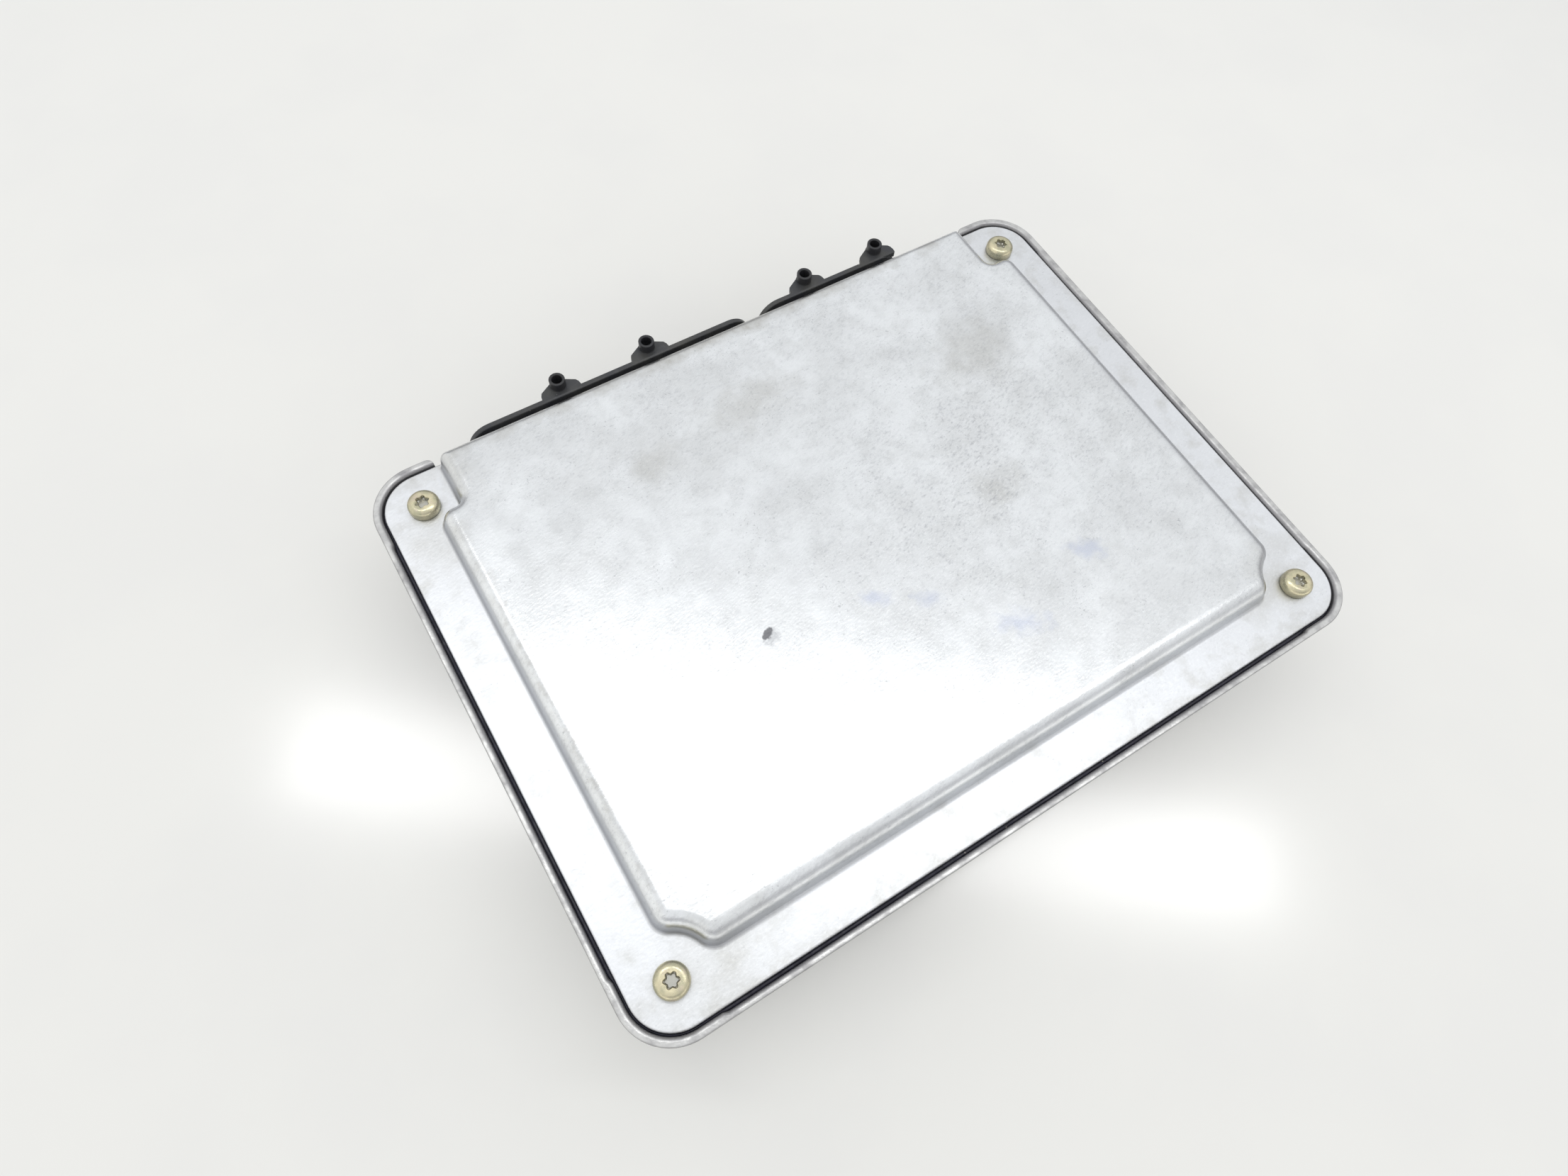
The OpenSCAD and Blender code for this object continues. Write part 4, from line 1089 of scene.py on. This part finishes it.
for x in (large_x[0] + 23.7, large_x[0] + 46.5, small_x[0] + 14.5, small_x[1] - 5.6):
    tab_places.append((x, mouth_y + stud_out, lip_top, (0, 0, 0)))
    tab_places.append((x, mouth_y + stud_out, lip_low, (0, math.pi, 0)))
tabs = scatter("locking_tabs", tab_places, tab_source, plastic)
finish_piece(tabs, plastic, "black_plastic", "header_body")


# Contacts and metal cans: tinned copper alloy pins and blades, the header's two screws, the crystal's case
# and the capacitors' cans. Bright but dulled in patches by oxide.
tinned, tree, shader, place = new_material("tinned_metal", Metallic=1.0)
tone = mix(tree, clouds(tree, place, 1.5), (0.78, 0.77, 0.73, 1), (0.56, 0.55, 0.52, 1))
paint(tree, shader, tone, mix(tree, clouds(tree, place, 0.8), 0.25, 0.45))
grain(tree, shader, place, 0.2, 0.01)
dress(tinned, "header_screws", "power_blades", "large_signal_pins", "small_signal_pins")
dress(tinned, "quartz_crystal", "electrolytic_capacitors")


# Circuit board and what it carries: green solder mask on glass laminate, moulded packages, a ferrite choke,
# small ceramic parts and soft grey pads that lead heat into the tub.
laminate, tree, shader, place = new_material("board_laminate")
wiring = put(tree, "ShaderNodeTexBrick", {"Vector": place, "Scale": 0.5, "Mortar Size": 0.04})
tracks = wiring.outputs["Fac"]
tone = mix(tree, clouds(tree, place, 14.0), (0.012, 0.09, 0.045, 1), (0.018, 0.115, 0.06, 1))
paint(tree, shader, mix(tree, tracks, tone, (0.03, 0.16, 0.085, 1)), mix(tree, tracks, 0.35, 0.28))
grain(tree, shader, place, 0.8, 0.01)
dress(laminate, "circuit_board")

moulded, tree, shader, place = new_material("moulding_compound")
tone = mix(tree, clouds(tree, place, 3.0), (0.018, 0.018, 0.02, 1), (0.03, 0.03, 0.032, 1))
tone = tint(tree, tone, specks(tree, place, 0.5, 0.2, 0.25), 0.3, (0.1, 0.1, 0.1, 1))
paint(tree, shader, tone, mix(tree, clouds(tree, place, 1.0), 0.5, 0.65))
grain(tree, shader, place, 0.15, 0.02)
dress(moulded, "microcontroller", "flash_memory", "working_memory", "eeprom_chip", "injector_drivers")
dress(moulded, "throttle_driver", "voltage_regulator", "output_transistors", "supply_diode")
dress(moulded, "bus_transceiver", "knock_signal_chip")

ferrite, tree, shader, place = new_material("ferrite")
winding = {"Vector": place, "Scale": 0.6, "Distortion": 0.6}
wound = put(tree, "ShaderNodeTexWave", winding, bands_direction="Z").outputs["Fac"]
tone = mix(tree, wound, (0.06, 0.045, 0.04, 1), (0.24, 0.1, 0.045, 1))
paint(tree, shader, tone, mix(tree, wound, 0.6, 0.35))
dress(ferrite, "supply_choke")

ceramic, tree, shader, place = new_material("ceramic")
tone = mix(tree, clouds(tree, place, 5.0), (0.42, 0.34, 0.25, 1), (0.3, 0.25, 0.2, 1))
paint(tree, shader, tone, mix(tree, clouds(tree, place, 1.0), 0.35, 0.5))
dress(ceramic, "filter_capacitors", "chip_resistors")

rubber, tree, shader, place = new_material("pad_rubber")
tone = mix(tree, clouds(tree, place, 2.0), (0.28, 0.32, 0.38, 1), (0.36, 0.4, 0.46, 1))
paint(tree, shader, tone, mix(tree, clouds(tree, place, 1.0), 0.7, 0.85))
dress(rubber, "heat_pads")


# Table: a plain white, slightly glossy top on which the unit lies. It is stage, not part of the unit, and
# only takes the unit's shadow and the lamp's reflection.
table_half = 1.6
corners = [(-table_half, -table_half), (table_half, -table_half)]
corners += [(table_half, table_half), (-table_half, table_half)]
table_bm = bmesh.new()
table_bm.faces.new([table_bm.verts.new((x, y, 0)) for x, y in corners])
table = new_object("table", table_bm)
gloss, tree, shader, place = new_material(
    "table_top",
    Specular_IOR_Level=0.6,
    Coat_Weight=1.0,
    Coat_IOR=1.9,
    Coat_Roughness=0.2,
)
tone = mix(tree, clouds(tree, place, 60.0), (0.83, 0.83, 0.805, 1), (0.815, 0.815, 0.795, 1))
paint(tree, shader, tone, mix(tree, clouds(tree, place, 90.0), 0.13, 0.16))
table.data.materials.append(gloss)


# Light: a white room, brighter overhead, on the left and low at the near side, with a dimmer band above
# that, and one long soft lamp whose reflection lies across the cover.
world = bpy.data.worlds.new("room")
scene.world = world
world.use_nodes = True
tree = world.node_tree
sky = tree.nodes["Background"]
toward = put(tree, "ShaderNodeTexCoord").outputs["Generated"]


def facing(direction, low, high):
    """1 where the room lies in a direction, 0 elsewhere."""
    lean = put(tree, "ShaderNodeVectorMath", {0: toward, 1: direction}, operation="DOT_PRODUCT")
    return ramp(tree, lean.outputs["Value"], low, high)


dome = facing((0, 0, 1), 0.0, 0.5)
room = mix(tree, dome, (0.3, 0.3, 0.32, 1), (0.93, 0.94, 0.95, 1))
left_wall = times(tree, facing((-1, 0, 0), 0.35, 0.8), facing((0, 0, 1), -0.3, 0.0))
room = mix(tree, left_wall, room, (1.1, 1.1, 1.08, 1))
near_wall = times(tree, facing((0, -1, 0), 0.35, 0.8), facing((0, 0, -1), -0.34, -0.1))
room = mix(tree, near_wall, room, (1.35, 1.35, 1.32, 1))
dim_band = times(tree, facing((0, 0, 1), 0.25, 0.4), facing((0, 0, -1), -0.78, -0.6))
dim_band = times(tree, dim_band, facing((-0.25, -0.97, 0), 0.3, 0.75))
room = tint(tree, room, dim_band, 0.85, (0.5, 0.5, 0.52, 1))
soft_light = mix(tree, facing((-0.71, -0.71, 0), -0.9, 0.9), (0.7, 0.7, 0.71, 1), (1.06, 1.06, 1.04, 1))
rays = put(tree, "ShaderNodeLightPath").outputs
room = mix(tree, rays["Is Glossy Ray"], soft_light, room)
tree.links.new(mix(tree, rays["Is Camera Ray"], room, (0.86, 0.86, 0.85, 1)), sky.inputs["Color"])

lamp_data = bpy.data.lights.new("strip", "AREA")
lamp_data.shape = "RECTANGLE"
lamp_data.size = 0.85
lamp_data.size_y = 0.085
lamp_data.energy = 0.75
lamp = bpy.data.objects.new("strip", lamp_data)
lamp.location = (0.06, 0.05, 0.6)
lamp.rotation_euler = (0, 0, math.atan2(-0.61, 0.79))
lamp.visible_camera = False
scene.collection.objects.link(lamp)


# Camera: held close over the near left corner, as in the photograph.
right = Vector((0.852, -0.521, 0.066))
up = Vector((0.45, 0.789, 0.419))
back = Vector((-0.27, -0.327, 0.906))
camera_data = bpy.data.cameras.new("camera")
camera_data.sensor_width = 36
camera_data.lens = 21.71
camera_data.clip_start = 0.01
camera = bpy.data.objects.new("camera", camera_data)
camera.rotation_mode = "QUATERNION"
camera.rotation_quaternion = Matrix((right, up, back)).transposed().to_quaternion().normalized()
camera.location = (-0.0753, -0.0655, 0.2141)
scene.collection.objects.link(camera)
scene.camera = camera
